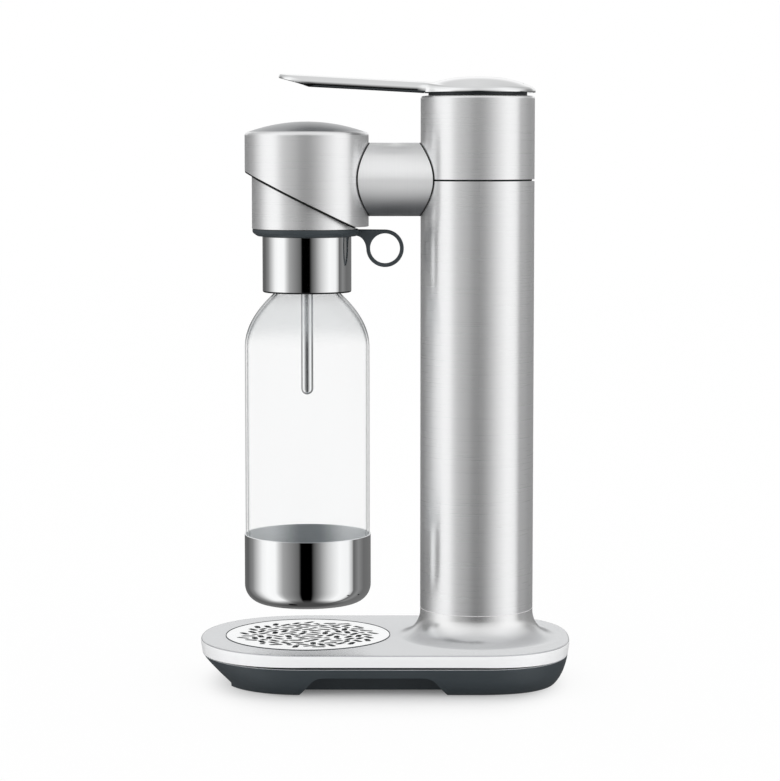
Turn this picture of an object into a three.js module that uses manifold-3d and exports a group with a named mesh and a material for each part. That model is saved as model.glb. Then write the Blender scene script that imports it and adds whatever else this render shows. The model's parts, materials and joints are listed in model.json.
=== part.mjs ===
// A lever operated sparkling water maker: base, column, arm, docking hood, cap and bottle.
// Lengths are millimetres, +Z is up, the origin is the middle of the footprint on the counter.
// The bottle stands towards -X, the column towards +X.
import * as THREE from 'three';
import { mergeVertices } from 'three/addons/utils/BufferGeometryUtils.js';
import Module from 'manifold-3d';

const wasm = await Module();
wasm.setup();

// Driving dimensions: stance
const BOTTLE_AXIS_X = -55;
const COLUMN_AXIS_X = 65;
const BASE_FRONT_REACH = 76;
const BASE_REAR_REACH = 66;
const BASE_HALF_WIDTH = 77.4;
const BASE_TOP_Z = 31.7;

// Clearances and one overrun for all cuts
const FIT = 0.3;
const RUNNING_FIT = 0.6;
const OVERRUN = 5;

// Base plate: a drawn steel cover with the column's flared foot
const PLATE_WALL = 2;
const PLATE_DEPTH = 9.9;
const PLATE_EDGE_Z = BASE_TOP_Z - PLATE_DEPTH;
const PLATE_EDGE_RISE = 1.8;
const PLATE_SHOULDER = 3.7;
const PLATE_WIDEST_Z = BASE_TOP_Z - PLATE_SHOULDER;
const PLATE_DRAFT = 1;
const PLATE_ROUNDING = 2.2;
const PLATE_LAP = 0.5;
const FLARE_HEIGHT = 20.3;
const FLARE_TOP_Z = BASE_TOP_Z + FLARE_HEIGHT;
const FLARE_RADIUS = 18.3;

// Base moulding: dark tray below the steel cover
const MOULDING_TOP_Z = PLATE_EDGE_Z - FIT;
const MOULDING_FLOOR_Z = 6;
const FOOT_PROUD = 1;
const MOULDING_FOOT_INSET = 16.5;
const MOULDING_BELLY_INSET = 3.2;
const MOULDING_BELLY_Z = 8;
const MOULDING_LIP_WALL = 2.4;
const MOULDING_LIP_HEIGHT = 5.2;
const MOULDING_LIP_Z = PLATE_EDGE_Z + MOULDING_LIP_HEIGHT;
const POCKET_INSET = 15;
const POCKET_FRONT_REACH = 45;
const POCKET_FRONT_X = BOTTLE_AXIS_X - POCKET_FRONT_REACH;
const SIDE_ARCH_Z = 15.5;
const TRAY_LEDGE = 1.7;
const TRAY_LEDGE_Z = SIDE_ARCH_Z + TRAY_LEDGE;
const SIDE_ARCH_FRONT_REACH = 5;
const SIDE_ARCH_FRONT_X = BOTTLE_AXIS_X - SIDE_ARCH_FRONT_REACH;
const SIDE_ARCH_REAR_REACH = 21;
const SIDE_ARCH_REAR_X = COLUMN_AXIS_X - SIDE_ARCH_REAR_REACH;
const SIDE_ARCH_RUN = 12;
const SIDE_ARCH_FILLET = 5;
const SIDE_ARCH_INNER_Y = 43;
const FRONT_ARCH_Z = 5.5;
const FRONT_ARCH_HALF = 37;
const FRONT_ARCH_RUN = 11;
const FRONT_ARCH_FILLET = 1.8;
const FRONT_ARCH_REACH = 53;
const FRONT_ARCH_REAR_X = BOTTLE_AXIS_X - FRONT_ARCH_REACH;

// Feet and base screws
const FOOT_RADIUS = 8;
const FOOT_HEIGHT = 3;
const FRONT_FOOT_REACH = 24;
const FRONT_FOOT_X = BOTTLE_AXIS_X - FRONT_FOOT_REACH;
const FRONT_FOOT_Y = 36;
const REAR_FOOT_REACH = 19;
const REAR_FOOT_X = COLUMN_AXIS_X + REAR_FOOT_REACH;
const REAR_FOOT_Y = 36;
const BASE_BOSS_RADIUS = 4;
const BASE_BOSS_FRONT_REACH = 37;
const BASE_BOSS_FRONT_X = COLUMN_AXIS_X - BASE_BOSS_FRONT_REACH;
const BASE_BOSS_REAR_REACH = 31;
const BASE_BOSS_REAR_X = COLUMN_AXIS_X + BASE_BOSS_REAR_REACH;
const BASE_BOSS_Y = 30;
const BASE_SCREW_HEAD_RADIUS = 3.2;
const BASE_SCREW_HEAD_HEIGHT = 2.2;
const BASE_SCREW_RADIUS = 1.4;
const BASE_SCREW_LENGTH = 14;

// Drip tray
const TRAY_RADIUS = 58.4;
const GRILLE_THICKNESS = 1.6;
const GRILLE_RIM = 7.5;
const GRILLE_HOLES = 44;
const GRILLE_HOLE_SIZE = 2.6;
const GRILLE_HOLE_CORNERS = 5;
const GRILLE_HOLE_WAIST_SHARE = 0.25;
const GRILLE_STRETCH_SHARE = 1.15;
const GRILLE_STRETCH_SPREAD_SHARE = 0.25;
const GRILLE_STRETCH_STEP = 2.7;
const GRILLE_TURN_WANDER = 1.3;
const CUP_WALL = 1.6;
const CUP_FLOOR = 2;
const CUP_CORNER = 1.6;

// Column: the heights of the arm, hood, cap and lever are counted from its top
const COLUMN_TOP_Z = 414;
const COLUMN_RADIUS = 40;
const COLUMN_WALL = 1.8;
const SEAM_GAP = 0.6;
const COLUMN_EDGE_ROUNDING = 2;
const HEAD_MOUTH_RADIUS = 30;

// Arm
const ARM_DROP = 58.3;
const ARM_AXIS_Z = COLUMN_TOP_Z - ARM_DROP;
const SEAM_DROP = 0.7;
const COLUMN_SEAM_Z = ARM_AXIS_Z - SEAM_DROP;
const ARM_RADIUS = 25.7;
const ARM_WALL = 1.6;
const GASKET_THICKNESS = 1;
const GASKET_PROUD = 0.5;
const GASKET_BORE_RADIUS = 22;
const ARM_CORE_RADIUS = 11.8;
const ARM_CORE_WALL = 3;
const ARM_CORE_FRONT_REACH = 29;
const ARM_CORE_FRONT_X = BOTTLE_AXIS_X + ARM_CORE_FRONT_REACH;
const ARM_CORE_REAR_REACH = 29;
const ARM_CORE_REAR_X = COLUMN_AXIS_X - ARM_CORE_REAR_REACH;

// Hood and docking plane
const HOOD_RADIUS = 43.5;
const HOOD_WALL = 1.6;
const HOOD_RISE = 40.5;
const HOOD_TOP_Z = ARM_AXIS_Z + HOOD_RISE;
const HOOD_DOME_RISE = 7;
const HOOD_SHOULDER_Z = HOOD_TOP_Z - HOOD_DOME_RISE;
const HOOD_EDGE_ROUNDING = 3;
const HOOD_REAR_DROP = 32.8;
const HOOD_REAR_Z = ARM_AXIS_Z - HOOD_REAR_DROP;
const DOCK_SLANT = THREE.MathUtils.degToRad(26.4);
const DOCK_DROP = 16.4;
const DOCK_Z = ARM_AXIS_Z - DOCK_DROP;
const DOCK_SHADOW_GAP = 0.9;
const DOCK_PLATE_THICKNESS = 3;
const DOCK_PLATE_RECESS = 1.2;

// Docking hinge line: a rib of the hood in a groove of the cap
const HOOK_X = -33.5;
const HOOK_DEPTH = 1.6;
const HOOK_RADIUS = 1.1;
const HOOK_NECK = 1.2;
const HOOK_HALF_LENGTH = 9;
const HOOK_GROOVE_RADIUS = 1.6;
const HOOK_RIB_MARGIN = 3.2;

// Gas nozzle
const NOZZLE_RADIUS = 4;
const NOZZLE_BORE = 1.2;
const NOZZLE_REACH = 2.6;
const NOZZLE_FLANGE_RADIUS = 7;
const NOZZLE_FLANGE = 2;
const NOZZLE_TAIL = 8;
const NOZZLE_TAIL_RADIUS = 2.8;
const NOZZLE_SEAL_RADIUS = 6.4;
const NOZZLE_SEAL_HALF = 0.9;
const MOUNT_BLOCK_FRONT_X = 17;
const MOUNT_BLOCK_HALF_WIDTH = 13;
const MOUNT_BLOCK_RISE = 13.3;
const MOUNT_BLOCK_TOP_Z = ARM_AXIS_Z + MOUNT_BLOCK_RISE;
const MOUNT_TUBE_HOLE = 6;

// Cap on the bottle
const CAP_RADIUS = 38.6;
const CAP_WALL = 1.4;
const CAP_DROP = 18.3;
const CAP_BOTTOM_Z = DOCK_Z - CAP_DROP;
const CAP_LID_THICKNESS = 2.4;
const CAP_LID_RECESS = 0.4;
const CAP_RING_HEIGHT = 5;
const CAP_RING_LOW_Z = CAP_BOTTOM_Z - CAP_RING_HEIGHT;
const CAP_RING_LOW_RADIUS = 34.6;
const INLET_BOSS_RADIUS = 8;
const INLET_BOSS_DEPTH = 8;
const HUB_RADIUS = 6.5;

// Collar, neck socket and bottle
const COLLAR_RADIUS = 31.3;
const COLLAR_WALL = 1.3;
const COLLAR_HEIGHT = 39.5;
const COLLAR_LOW_Z = CAP_RING_LOW_Z - COLLAR_HEIGHT;
const COLLAR_ROUNDING = 3;
const COLLAR_MOUTH_RADIUS = 25.2;
const SOCKET_ROOF = 13.4;
const SOCKET_CEILING_Z = CAP_RING_LOW_Z - SOCKET_ROOF;
const BOTTLE_RADIUS = 44;
const BOTTLE_WALL = 1.5;
const SEAL_ROOM = 2.6;
const BOTTLE_MOUTH_Z = SOCKET_CEILING_Z - SEAL_ROOM;
const BOTTLE_NECK_RADIUS = 20;
const NECK_PLAY = 1.2;
const SEAL_INSET = 2.1;
const BOTTLE_NECK_LENGTH = 21;
const BOTTLE_NECK_Z = BOTTLE_MOUTH_Z - BOTTLE_NECK_LENGTH;
const SHOULDER_HAUNCH_RADIUS = 30;
const SHOULDER_HAUNCH_DROP = 9;
const SHOULDER_HAUNCH_Z = BOTTLE_NECK_Z - SHOULDER_HAUNCH_DROP;
const SHOULDER_HEIGHT = 41;
const BOTTLE_SHOULDER_Z = BOTTLE_NECK_Z - SHOULDER_HEIGHT;
const SHOULDER_RISE = 18;
const NECK_INSET_SHARE = 0.33;
const BOTTLE_ROOM = 24.3;
const BOTTLE_FOOT_Z = BASE_TOP_Z + BOTTLE_ROOM;

// Bottle cup
const BASE_CUP_RADIUS = 44.8;
const BASE_CUP_WALL = 1.2;
const BASE_CUP_HEIGHT = 49;
const BASE_CUP_BOTTOM_Z = BOTTLE_FOOT_Z;
const BASE_CUP_RIM_Z = BASE_CUP_BOTTOM_Z + BASE_CUP_HEIGHT;
const BOTTLE_STEP = 1;
const BOTTLE_WAIST_Z = BASE_CUP_RIM_Z + BOTTLE_STEP;
const BASE_CUP_ROUNDING = 13;
const BASE_CUP_KICK_RADIUS = 22;
const BASE_CUP_KICK = 2;

// Wand
const WAND_RADIUS = 4.2;
const WAND_BORE = 2.4;
const WAND_ORIFICE = 0.7;
const WAND_TIP_SPREAD = 15;
const WAND_TOP_DROP = 4;
const WAND_TOP_Z = CAP_RING_LOW_Z - WAND_TOP_DROP;
const WAND_LENGTH = 108;
const WAND_TIP_Z = WAND_TOP_Z - WAND_LENGTH;
const WAND_FLANGE_RADIUS = 6.5;
const WAND_FLANGE = 1.4;

// Pressure release
const TAB_PIN_INSET = 5.6;
const TAB_PIN_X = CAP_RADIUS - TAB_PIN_INSET;
const TAB_PIN_RISE = 2.6;
const TAB_PIN_Z = CAP_RING_LOW_Z + TAB_PIN_RISE;
const TAB_PIN_RADIUS = 1.2;
const TAB_PIN_HALF = 7;
const TAB_THICKNESS = 5;
const TAB_HUB_RADIUS = 2.2;
const TAB_REACH = 22;
const TAB_RING_X = TAB_PIN_X + TAB_REACH;
const TAB_RING_DROP = 11.2;
const TAB_RING_Z = TAB_PIN_Z - TAB_RING_DROP;
const TAB_RING_RADIUS = 13.2;
const TAB_RING_HOLE = 10.5;
const TAB_WEB_BEND = 14.5;
const TAB_ARM_HEIGHT = 3.4;
const TAB_FORK_GAP = 3.4;
const TAB_FORK_LENGTH = 5;
const VENT_X = 15;
const VENT_RADIUS = 1.5;
const VENT_SEAT_RADIUS = 3.2;
const VENT_RISE = 5.4;
const VENT_SEAT_Z = SOCKET_CEILING_Z + VENT_RISE;
const POPPET_STEM_RADIUS = 1.1;
const POPPET_HEAD_RADIUS = 2.8;
const POPPET_HEAD = 1.2;
const POPPET_CONE = 2.4;
const POPPET_PLAY = 0.45;

// Lever
const LEVER_GAP = 2.4;
const LEVER_RIM_Z = COLUMN_TOP_Z + LEVER_GAP;
const LEVER_TIP_REACH = 19.6;
const LEVER_TIP_X = BOTTLE_AXIS_X - LEVER_TIP_REACH;
const LEVER_TIP_RISE = 13.2;
const LEVER_TIP_TOP_Z = LEVER_RIM_Z + LEVER_TIP_RISE;
const LEVER_SADDLE_REACH = 37.3;
const LEVER_SADDLE_X = COLUMN_AXIS_X - LEVER_SADDLE_REACH;
const LEVER_SADDLE_RISE = 7.5;
const LEVER_SADDLE_Z = LEVER_RIM_Z + LEVER_SADDLE_RISE;
const LEVER_RADIUS = 40.4;
const LEVER_DOME_RISE = 11;
const LEVER_DOME_Z = LEVER_RIM_Z + LEVER_DOME_RISE;
const LEVER_DOME_DROP = 8.4;
const LEVER_WALL = 1.5;
const LEVER_TIP_WALL = 4.5;
const LEVER_TIP_EDGE_RISE = 10.2;
const LEVER_TIP_EDGE_Z = LEVER_RIM_Z + LEVER_TIP_EDGE_RISE;
const LEVER_BEAK_LENGTH = 19.6;
const LEVER_BEAK_X = LEVER_TIP_X + LEVER_BEAK_LENGTH;
const LEVER_BEAK_EDGE_RISE = 4.4;
const LEVER_BEAK_EDGE_Z = LEVER_RIM_Z + LEVER_BEAK_EDGE_RISE;
const LEVER_GRIP_HALF_WIDTH = 15;
const LEVER_ROOT_HALF_WIDTH = 19;
const LEVER_CROWN = 1.6;
const LEVER_WIDTH_BLEND = 6;
const LEVER_HEIGHT_BLEND = 1.1;
const LEVER_DOME_POWER = 2.6;
const LEVER_BEAK_POWER = 0.8;
const LEVER_SPINE_FALL_SHARE = 0.12;
const LEVER_STATIONS = 16;
const LEVER_CROWN_STEPS = 6;
const LEVER_PIN_X = 29;
const LEVER_PIN_RISE = 0.8;
const LEVER_PIN_Z = LEVER_RIM_Z + LEVER_PIN_RISE;
const LEVER_PIN_RADIUS = 1.25;
const LEVER_PIN_HALF = 16;
const LEVER_LUG_RADIUS = 2.7;
const LEVER_LUG_WEB_HALF = 2.16;
const LEVER_LUG_Y = 9;
const LEVER_LUG_WIDTH = 3;
const GRIP_INSERT_FRONT_GAP = 22.6;
const GRIP_INSERT_FRONT_X = LEVER_TIP_X + GRIP_INSERT_FRONT_GAP;
const GRIP_INSERT_REAR_GAP = 7.7;
const GRIP_INSERT_REAR_X = LEVER_SADDLE_X - GRIP_INSERT_REAR_GAP;
const GRIP_INSERT_THICKNESS = 2;
const GRIP_INSERT_RECESS = 0.8;
const GRIP_INSERT_STRIDE = 3;

// Top insert under the lever
const INSERT_RADIUS = 34.6;
const INSERT_PROUD = 5.4;
const INSERT_TOP_Z = COLUMN_TOP_Z + INSERT_PROUD;
const INSERT_SPIGOT = 10;
const INSERT_SPIGOT_Z = COLUMN_TOP_Z - INSERT_SPIGOT;
const INSERT_WALL = 3;
const INSERT_BEVEL_RADIUS = 31;
const INSERT_BEVEL_HEIGHT = 1.6;
const INSERT_BEVEL_Z = INSERT_TOP_Z - INSERT_BEVEL_HEIGHT;
const INSERT_DECK = 4.4;

// Valve, plunger and spring
const VALVE_BLOCK_CLEAR = 0.5;
const VALVE_BLOCK_LOW_Z = ARM_AXIS_Z + ARM_CORE_RADIUS + VALVE_BLOCK_CLEAR;
const VALVE_BLOCK_HEIGHT = 20;
const VALVE_BLOCK_HIGH_Z = VALVE_BLOCK_LOW_Z + VALVE_BLOCK_HEIGHT;
const VALVE_SOCKET_DEPTH = 9;
const VALVE_BLOCK_REAR_X = 20;
const VALVE_BLOCK_HALF_WIDTH = 24;
const PLUNGER_RADIUS = 4;
const PLUNGER_BUTTON_RADIUS = 6;
const PLUNGER_BUTTON = 2.2;
const PLUNGER_COLLAR_RADIUS = 8.6;
const PLUNGER_COLLAR = 2.5;
const PLUNGER_COLLAR_PLAY = 2.5;
const PLUNGER_COLLAR_Z = INSERT_TOP_Z - INSERT_DECK - PLUNGER_COLLAR_PLAY - PLUNGER_COLLAR;
const PLUNGER_PLAY = 0.7;
const PLUNGER_TOP_Z = LEVER_DOME_Z - LEVER_WALL - PLUNGER_PLAY;
const PLUNGER_PIN_PLAY = 1;
const PLUNGER_LOW_Z = VALVE_BLOCK_LOW_Z + VALVE_SOCKET_DEPTH + PLUNGER_PIN_PLAY;
const SPRING_COIL_RADIUS = 7.2;
const SPRING_WIRE_RADIUS = 0.7;
const SPRING_TURNS = 5;
const SPRING_STEPS_PER_TURN = 7;
const SPRING_SIDES = 4;

// Gas cylinder
const CYLINDER_RADIUS = 30;
const CYLINDER_STAND = 12.3;
const CYLINDER_BOTTOM_Z = BASE_TOP_Z + CYLINDER_STAND;
const CYLINDER_NECK_RADIUS = 11;
const VALVE_STEM = 16;
const CYLINDER_NECK_Z = VALVE_BLOCK_LOW_Z - VALVE_STEM;
const CYLINDER_SHOULDER = 34;
const CYLINDER_SHOULDER_Z = CYLINDER_NECK_Z - CYLINDER_SHOULDER;
const CYLINDER_SHOULDER_PULL = 16.5;
const CYLINDER_NECK_PULL = 21;
const CYLINDER_KICK = 2.5;
const CYLINDER_KICK_RADIUS = 14;
const CYLINDER_BOTTOM_ROUNDING = 10;
const CYLINDER_WALL = 4;
const CYLINDER_PORT_RADIUS = 6;
const CYLINDER_PORT_DEPTH = 14;
const VALVE_RADIUS = 10.5;
const VALVE_HEX_RADIUS = 13;
const VALVE_HEX_HEIGHT = 5;
const VALVE_PIN_RADIUS = 1.5;
const VALVE_TAIL = 7;

// Chassis inside the column
const CHASSIS_PLAY = 0.8;
const CHASSIS_RADIUS = COLUMN_RADIUS - COLUMN_WALL - CHASSIS_PLAY;
const CHASSIS_WALL = 2;
const CHASSIS_STAND = 0.5;
const CHASSIS_LOW_Z = BASE_TOP_Z + CHASSIS_STAND;
const CHASSIS_HALF_ANGLE = THREE.MathUtils.degToRad(62);
const REST_HEIGHT = 11;
const REST_HOLE_RADIUS = 10;

// Gas tube through the arm
const GAS_TUBE_RADIUS = 2.2;
const GAS_TUBE_SIDES = 6;
const GAS_TUBE_STEPS = 14;
const GAS_TUBE_BEND = 8;
const GAS_TUBE_RISE = 2;
const GAS_PORT_REACH = 22;
const GAS_PORT_X = COLUMN_AXIS_X - GAS_PORT_REACH;

// Fineness of the round forms
const ROUND_STEPS = 28;
const MIDDLE_STEPS = 20;
const SMALL_STEPS = 12;
const TINY_STEPS = 8;
const HEX_SIDES = 6;
const ARC_STEPS = 4;
const CORNER_STEPS = 2;
const END_STEPS = 10;
const FRONT_END_POWER = 2.15;
const REAR_END_POWER = 2.4;
const MERGE_DISTANCE = 1e-4;
const DOME_START_SHARE = 0.9;

// Directions in a turned profile, in degrees
const OUTWARD = 0;
const UPWARD = 90;
const INWARD = 180;
const DOWNWARD = 270;
const FULL_TURN = 360;

// Materials
function metal(color, roughness) {
  return new THREE.MeshStandardMaterial({ color, roughness, metalness: 1, flatShading: true });
}
function plastic(color, roughness) {
  return new THREE.MeshStandardMaterial({ color, roughness, metalness: 0, flatShading: true });
}
const brushedSteel = metal(0xbfc1c3, 0.32);
const polishedSteel = metal(0xdcdee0, 0.08);
const brass = metal(0xb08a4a, 0.35);
const castAluminium = metal(0x9a9c9e, 0.5);
const cylinderSteel = metal(0x8e9296, 0.4);
const darkPlastic = plastic(0x3c4246, 0.55);
const charcoalPlastic = plastic(0x2b3134, 0.45);
const blackRubber = plastic(0x141516, 0.85);
const siliconeRubber = plastic(0x8f9396, 0.7);
const clearBottle = new THREE.MeshStandardMaterial({
  color: 0xf2f5f6, roughness: 0.05, metalness: 0, transparent: true, opacity: 0.3, flatShading: true,
});

// Closed mesh tools: a geometry becomes a solid body, is joined or cut, and comes back
function mergedTriangles(geometry) {
  const bare = geometry.clone();
  for (const name of Object.keys(bare.attributes)) {
    if (name !== 'position') bare.deleteAttribute(name);
  }
  const merged = mergeVertices(bare, MERGE_DISTANCE);
  const index = Array.from(merged.index.array);
  const kept = [];
  for (let i = 0; i < index.length; i += 3) {
    const [a, b, c] = [index[i], index[i + 1], index[i + 2]];
    if (a !== b && b !== c && c !== a) kept.push(a, b, c);
  }
  return { positions: merged.attributes.position.array, triangles: kept };
}

function enclosedVolume(positions, triangles) {
  const [a, b, c] = [new THREE.Vector3(), new THREE.Vector3(), new THREE.Vector3()];
  let volume = 0;
  for (let i = 0; i < triangles.length; i += 3) {
    a.fromArray(positions, triangles[i] * 3);
    b.fromArray(positions, triangles[i + 1] * 3);
    c.fromArray(positions, triangles[i + 2] * 3);
    volume += a.dot(b.cross(c)) / 6;
  }
  return volume;
}

function toSolid(geometry) {
  const { positions, triangles } = mergedTriangles(geometry);
  if (enclosedVolume(positions, triangles) < 0) {
    for (let i = 0; i < triangles.length; i += 3) {
      [triangles[i], triangles[i + 1]] = [triangles[i + 1], triangles[i]];
    }
  }
  const vertProperties = Float32Array.from(positions);
  const triVerts = Uint32Array.from(triangles);
  return new wasm.Manifold(new wasm.Mesh({ numProp: 3, vertProperties, triVerts }));
}

function toGeometry(body) {
  const mesh = body.getMesh();
  const geometry = new THREE.BufferGeometry();
  geometry.setAttribute('position', new THREE.BufferAttribute(Float32Array.from(mesh.vertProperties), 3));
  geometry.setIndex(new THREE.BufferAttribute(Uint32Array.from(mesh.triVerts), 1));
  geometry.computeVertexNormals();
  return geometry;
}

function join(first, ...others) {
  return toGeometry(others.reduce((body, other) => body.add(toSolid(other)), toSolid(first)));
}

function cut(first, ...tools) {
  return toGeometry(tools.reduce((body, tool) => body.subtract(toSolid(tool)), toSolid(first)));
}

function common(first, second) {
  return toGeometry(toSolid(first).intersect(toSolid(second)));
}

// Forms: a turned profile of [radius, height] pairs stands on Z
function revolve(profile, steps = ROUND_STEPS) {
  const points = profile.map(([radius, height]) => new THREE.Vector2(radius, height));
  const closed = points[0].x > 0 || points[points.length - 1].x > 0;
  if (closed) points.push(points[0].clone());
  return new THREE.LatheGeometry(points, steps).rotateX(Math.PI / 2);
}

function disc(radius, low, high, steps = ROUND_STEPS) {
  return revolve([[0, low], [radius, low], [radius, high], [0, high]], steps);
}

function tubeRing(outer, inner, low, high, steps = ROUND_STEPS) {
  return revolve([[inner, low], [outer, low], [outer, high], [inner, high]], steps);
}

function arc(centreR, centreZ, radius, from, to, steps = ARC_STEPS) {
  const points = [];
  for (let i = 0; i <= steps; i += 1) {
    const angle = THREE.MathUtils.degToRad(from + ((to - from) * i) / steps);
    points.push([centreR + radius * Math.cos(angle), centreZ + radius * Math.sin(angle)]);
  }
  return points;
}

function prism(outline, low, high) {
  const shape = outline instanceof THREE.Shape ? outline : new THREE.Shape(outline);
  const geometry = new THREE.ExtrudeGeometry(shape, { depth: high - low, bevelEnabled: false });
  return geometry.translate(0, 0, low);
}

// An outline drawn in X and Z, carried along Y from one side to the other
function sidePrism(outline, fromY, toY) {
  const shape = outline instanceof THREE.Shape ? outline : new THREE.Shape(outline);
  const geometry = new THREE.ExtrudeGeometry(shape, { depth: toY - fromY, bevelEnabled: false });
  return geometry.rotateX(Math.PI / 2).translate(0, toY, 0);
}

function box(fromX, toX, fromY, toY, fromZ, toZ) {
  const geometry = new THREE.BoxGeometry(toX - fromX, toY - fromY, toZ - fromZ);
  return geometry.translate((fromX + toX) / 2, (fromY + toY) / 2, (fromZ + toZ) / 2);
}

function xz(x, z) {
  return new THREE.Vector2(x, z);
}

// Rings of equal count are skinned, and both ends are closed from their middles
function loft(rings) {
  const count = rings[0].length;
  const positions = rings.flat().flatMap((point) => [point.x, point.y, point.z]);
  const index = [];
  for (let r = 0; r + 1 < rings.length; r += 1) {
    for (let i = 0; i < count; i += 1) {
      const next = (i + 1) % count;
      const [a, b] = [r * count + i, r * count + next];
      const [c, d] = [a + count, b + count];
      index.push(a, b, c, b, d, c);
    }
  }
  const ends = [[rings[0], 0, false], [rings.at(-1), (rings.length - 1) * count, true]];
  for (const [ring, start, forward] of ends) {
    const middle = new THREE.Vector3();
    for (const point of ring) middle.add(point);
    middle.divideScalar(count);
    const centre = positions.length / 3;
    positions.push(middle.x, middle.y, middle.z);
    for (let i = 0; i < count; i += 1) {
      const next = (i + 1) % count;
      index.push(centre, start + (forward ? i : next), start + (forward ? next : i));
    }
  }
  const geometry = new THREE.BufferGeometry();
  geometry.setAttribute('position', new THREE.Float32BufferAttribute(positions, 3));
  geometry.setIndex(index);
  return geometry;
}

// A round bar or bore between two points
function rod(start, end, radius, steps = SMALL_STEPS) {
  const along = end.clone().sub(start);
  const geometry = new THREE.CylinderGeometry(radius, radius, along.length(), steps);
  const turn = new THREE.Quaternion().setFromUnitVectors(at(0, 1, 0), along.clone().normalize());
  geometry.applyQuaternion(turn);
  return geometry.translate((start.x + end.x) / 2, (start.y + end.y) / 2, (start.z + end.z) / 2);
}

function at(x, y, z) {
  return new THREE.Vector3(x, y, z);
}

function part(name, geometry, material, group) {
  const mesh = new THREE.Mesh(geometry, material);
  mesh.name = name;
  group.add(mesh);
}

const sparklingWaterMaker = new THREE.Group();
const base = new THREE.Group();
const column = new THREE.Group();
const head = new THREE.Group();
column.position.x = COLUMN_AXIS_X;
head.position.x = BOTTLE_AXIS_X;
sparklingWaterMaker.add(base, column, head);

// Base outline: two rounded ends with straight sides between them
function baseOutline(inset) {
  const points = [];
  const ends = [
    [COLUMN_AXIS_X, BASE_REAR_REACH - inset, REAR_END_POWER, -1],
    [BOTTLE_AXIS_X, BASE_FRONT_REACH - inset, FRONT_END_POWER, 1],
  ];
  for (const [centre, reach, power, turn] of ends) {
    for (let i = 0; i <= END_STEPS; i += 1) {
      const angle = (Math.PI / 2) * turn + (Math.PI * i) / END_STEPS;
      const [c, s] = [Math.cos(angle), Math.sin(angle)];
      const x = Math.sign(c) * Math.abs(c) ** (2 / power) * reach;
      const y = Math.sign(s) * Math.abs(s) ** (2 / power) * (BASE_HALF_WIDTH - inset);
      points.push(new THREE.Vector2(centre + x, y));
    }
  }
  return points;
}

function baseRing(inset, height) {
  return baseOutline(inset).map((point) => at(point.x, point.y, height(point.x)));
}

function level(z) {
  return () => z;
}

// Base plate with its flared foot, tray hole and screw bosses
function basePlate() {
  const reach = BASE_FRONT_REACH - BOTTLE_AXIS_X;
  const edge = (x) => PLATE_EDGE_Z + PLATE_EDGE_RISE * (1 - (x / reach) ** 2);
  const corner = arc(
    -PLATE_ROUNDING, BASE_TOP_Z - PLATE_ROUNDING, PLATE_ROUNDING, OUTWARD, UPWARD, CORNER_STEPS,
  );
  const cover = loft([
    baseRing(PLATE_DRAFT, edge),
    baseRing(0, level(PLATE_WIDEST_Z)),
    ...corner.map(([outward, z]) => baseRing(-outward, level(z))),
  ]);
  const under = BASE_TOP_Z - PLATE_WALL;
  const hollow = loft([
    baseRing(PLATE_WALL + PLATE_DRAFT, level(PLATE_EDGE_Z - OVERRUN)),
    baseRing(PLATE_WALL + PLATE_DRAFT, level(under)),
  ]);
  const flareInner = COLUMN_RADIUS - PLATE_WALL;
  const flare = revolve([
    [flareInner, under + PLATE_LAP],
    [COLUMN_RADIUS + FLARE_RADIUS, under + PLATE_LAP],
    ...arc(COLUMN_RADIUS + FLARE_RADIUS, BASE_TOP_Z + FLARE_RADIUS, FLARE_RADIUS, DOWNWARD, INWARD),
    [COLUMN_RADIUS, FLARE_TOP_Z],
    [flareInner, FLARE_TOP_Z],
  ]).translate(COLUMN_AXIS_X, 0, 0);
  const trayHole = disc(TRAY_RADIUS, under - OVERRUN, BASE_TOP_Z + OVERRUN).translate(BOTTLE_AXIS_X, 0, 0);
  const shell = cut(join(cut(cover, hollow), flare), trayHole);
  const bossBottom = MOULDING_FLOOR_Z + FIT;
  const bosses = baseBossPlaces().map(([x, y]) => (
    tubeRing(BASE_BOSS_RADIUS, BASE_SCREW_RADIUS + FIT, bossBottom, under + PLATE_LAP, TINY_STEPS)
      .translate(x, y, 0)
  ));
  return join(shell, ...bosses);
}

function baseBossPlaces() {
  return [BASE_BOSS_FRONT_X, BASE_BOSS_REAR_X].flatMap((x) => [[x, -BASE_BOSS_Y], [x, BASE_BOSS_Y]]);
}

// Dark moulding: a boat shaped tray with two side arches and a low front arch
function mouldingFlank() {
  const curve = new THREE.QuadraticBezierCurve(
    xz(PLATE_DRAFT, MOULDING_TOP_Z),
    xz(MOULDING_BELLY_INSET, MOULDING_BELLY_Z),
    xz(MOULDING_FOOT_INSET, FOOT_PROUD),
  );
  return curve.getPoints(ARC_STEPS).reverse();
}

function archOutline(from, to, run, height, fillet) {
  const shape = new THREE.Shape();
  const slope = run / height;
  shape.moveTo(from - OVERRUN * slope, -OVERRUN);
  shape.lineTo(from + (height - fillet) * slope, height - fillet);
  shape.quadraticCurveTo(from + run, height, from + run + fillet, height);
  shape.lineTo(to - run - fillet, height);
  shape.quadraticCurveTo(to - run, height, to - (height - fillet) * slope, height - fillet);
  shape.lineTo(to + OVERRUN * slope, -OVERRUN);
  shape.closePath();
  return new THREE.Shape(shape.extractPoints(ARC_STEPS).shape);
}

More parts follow.
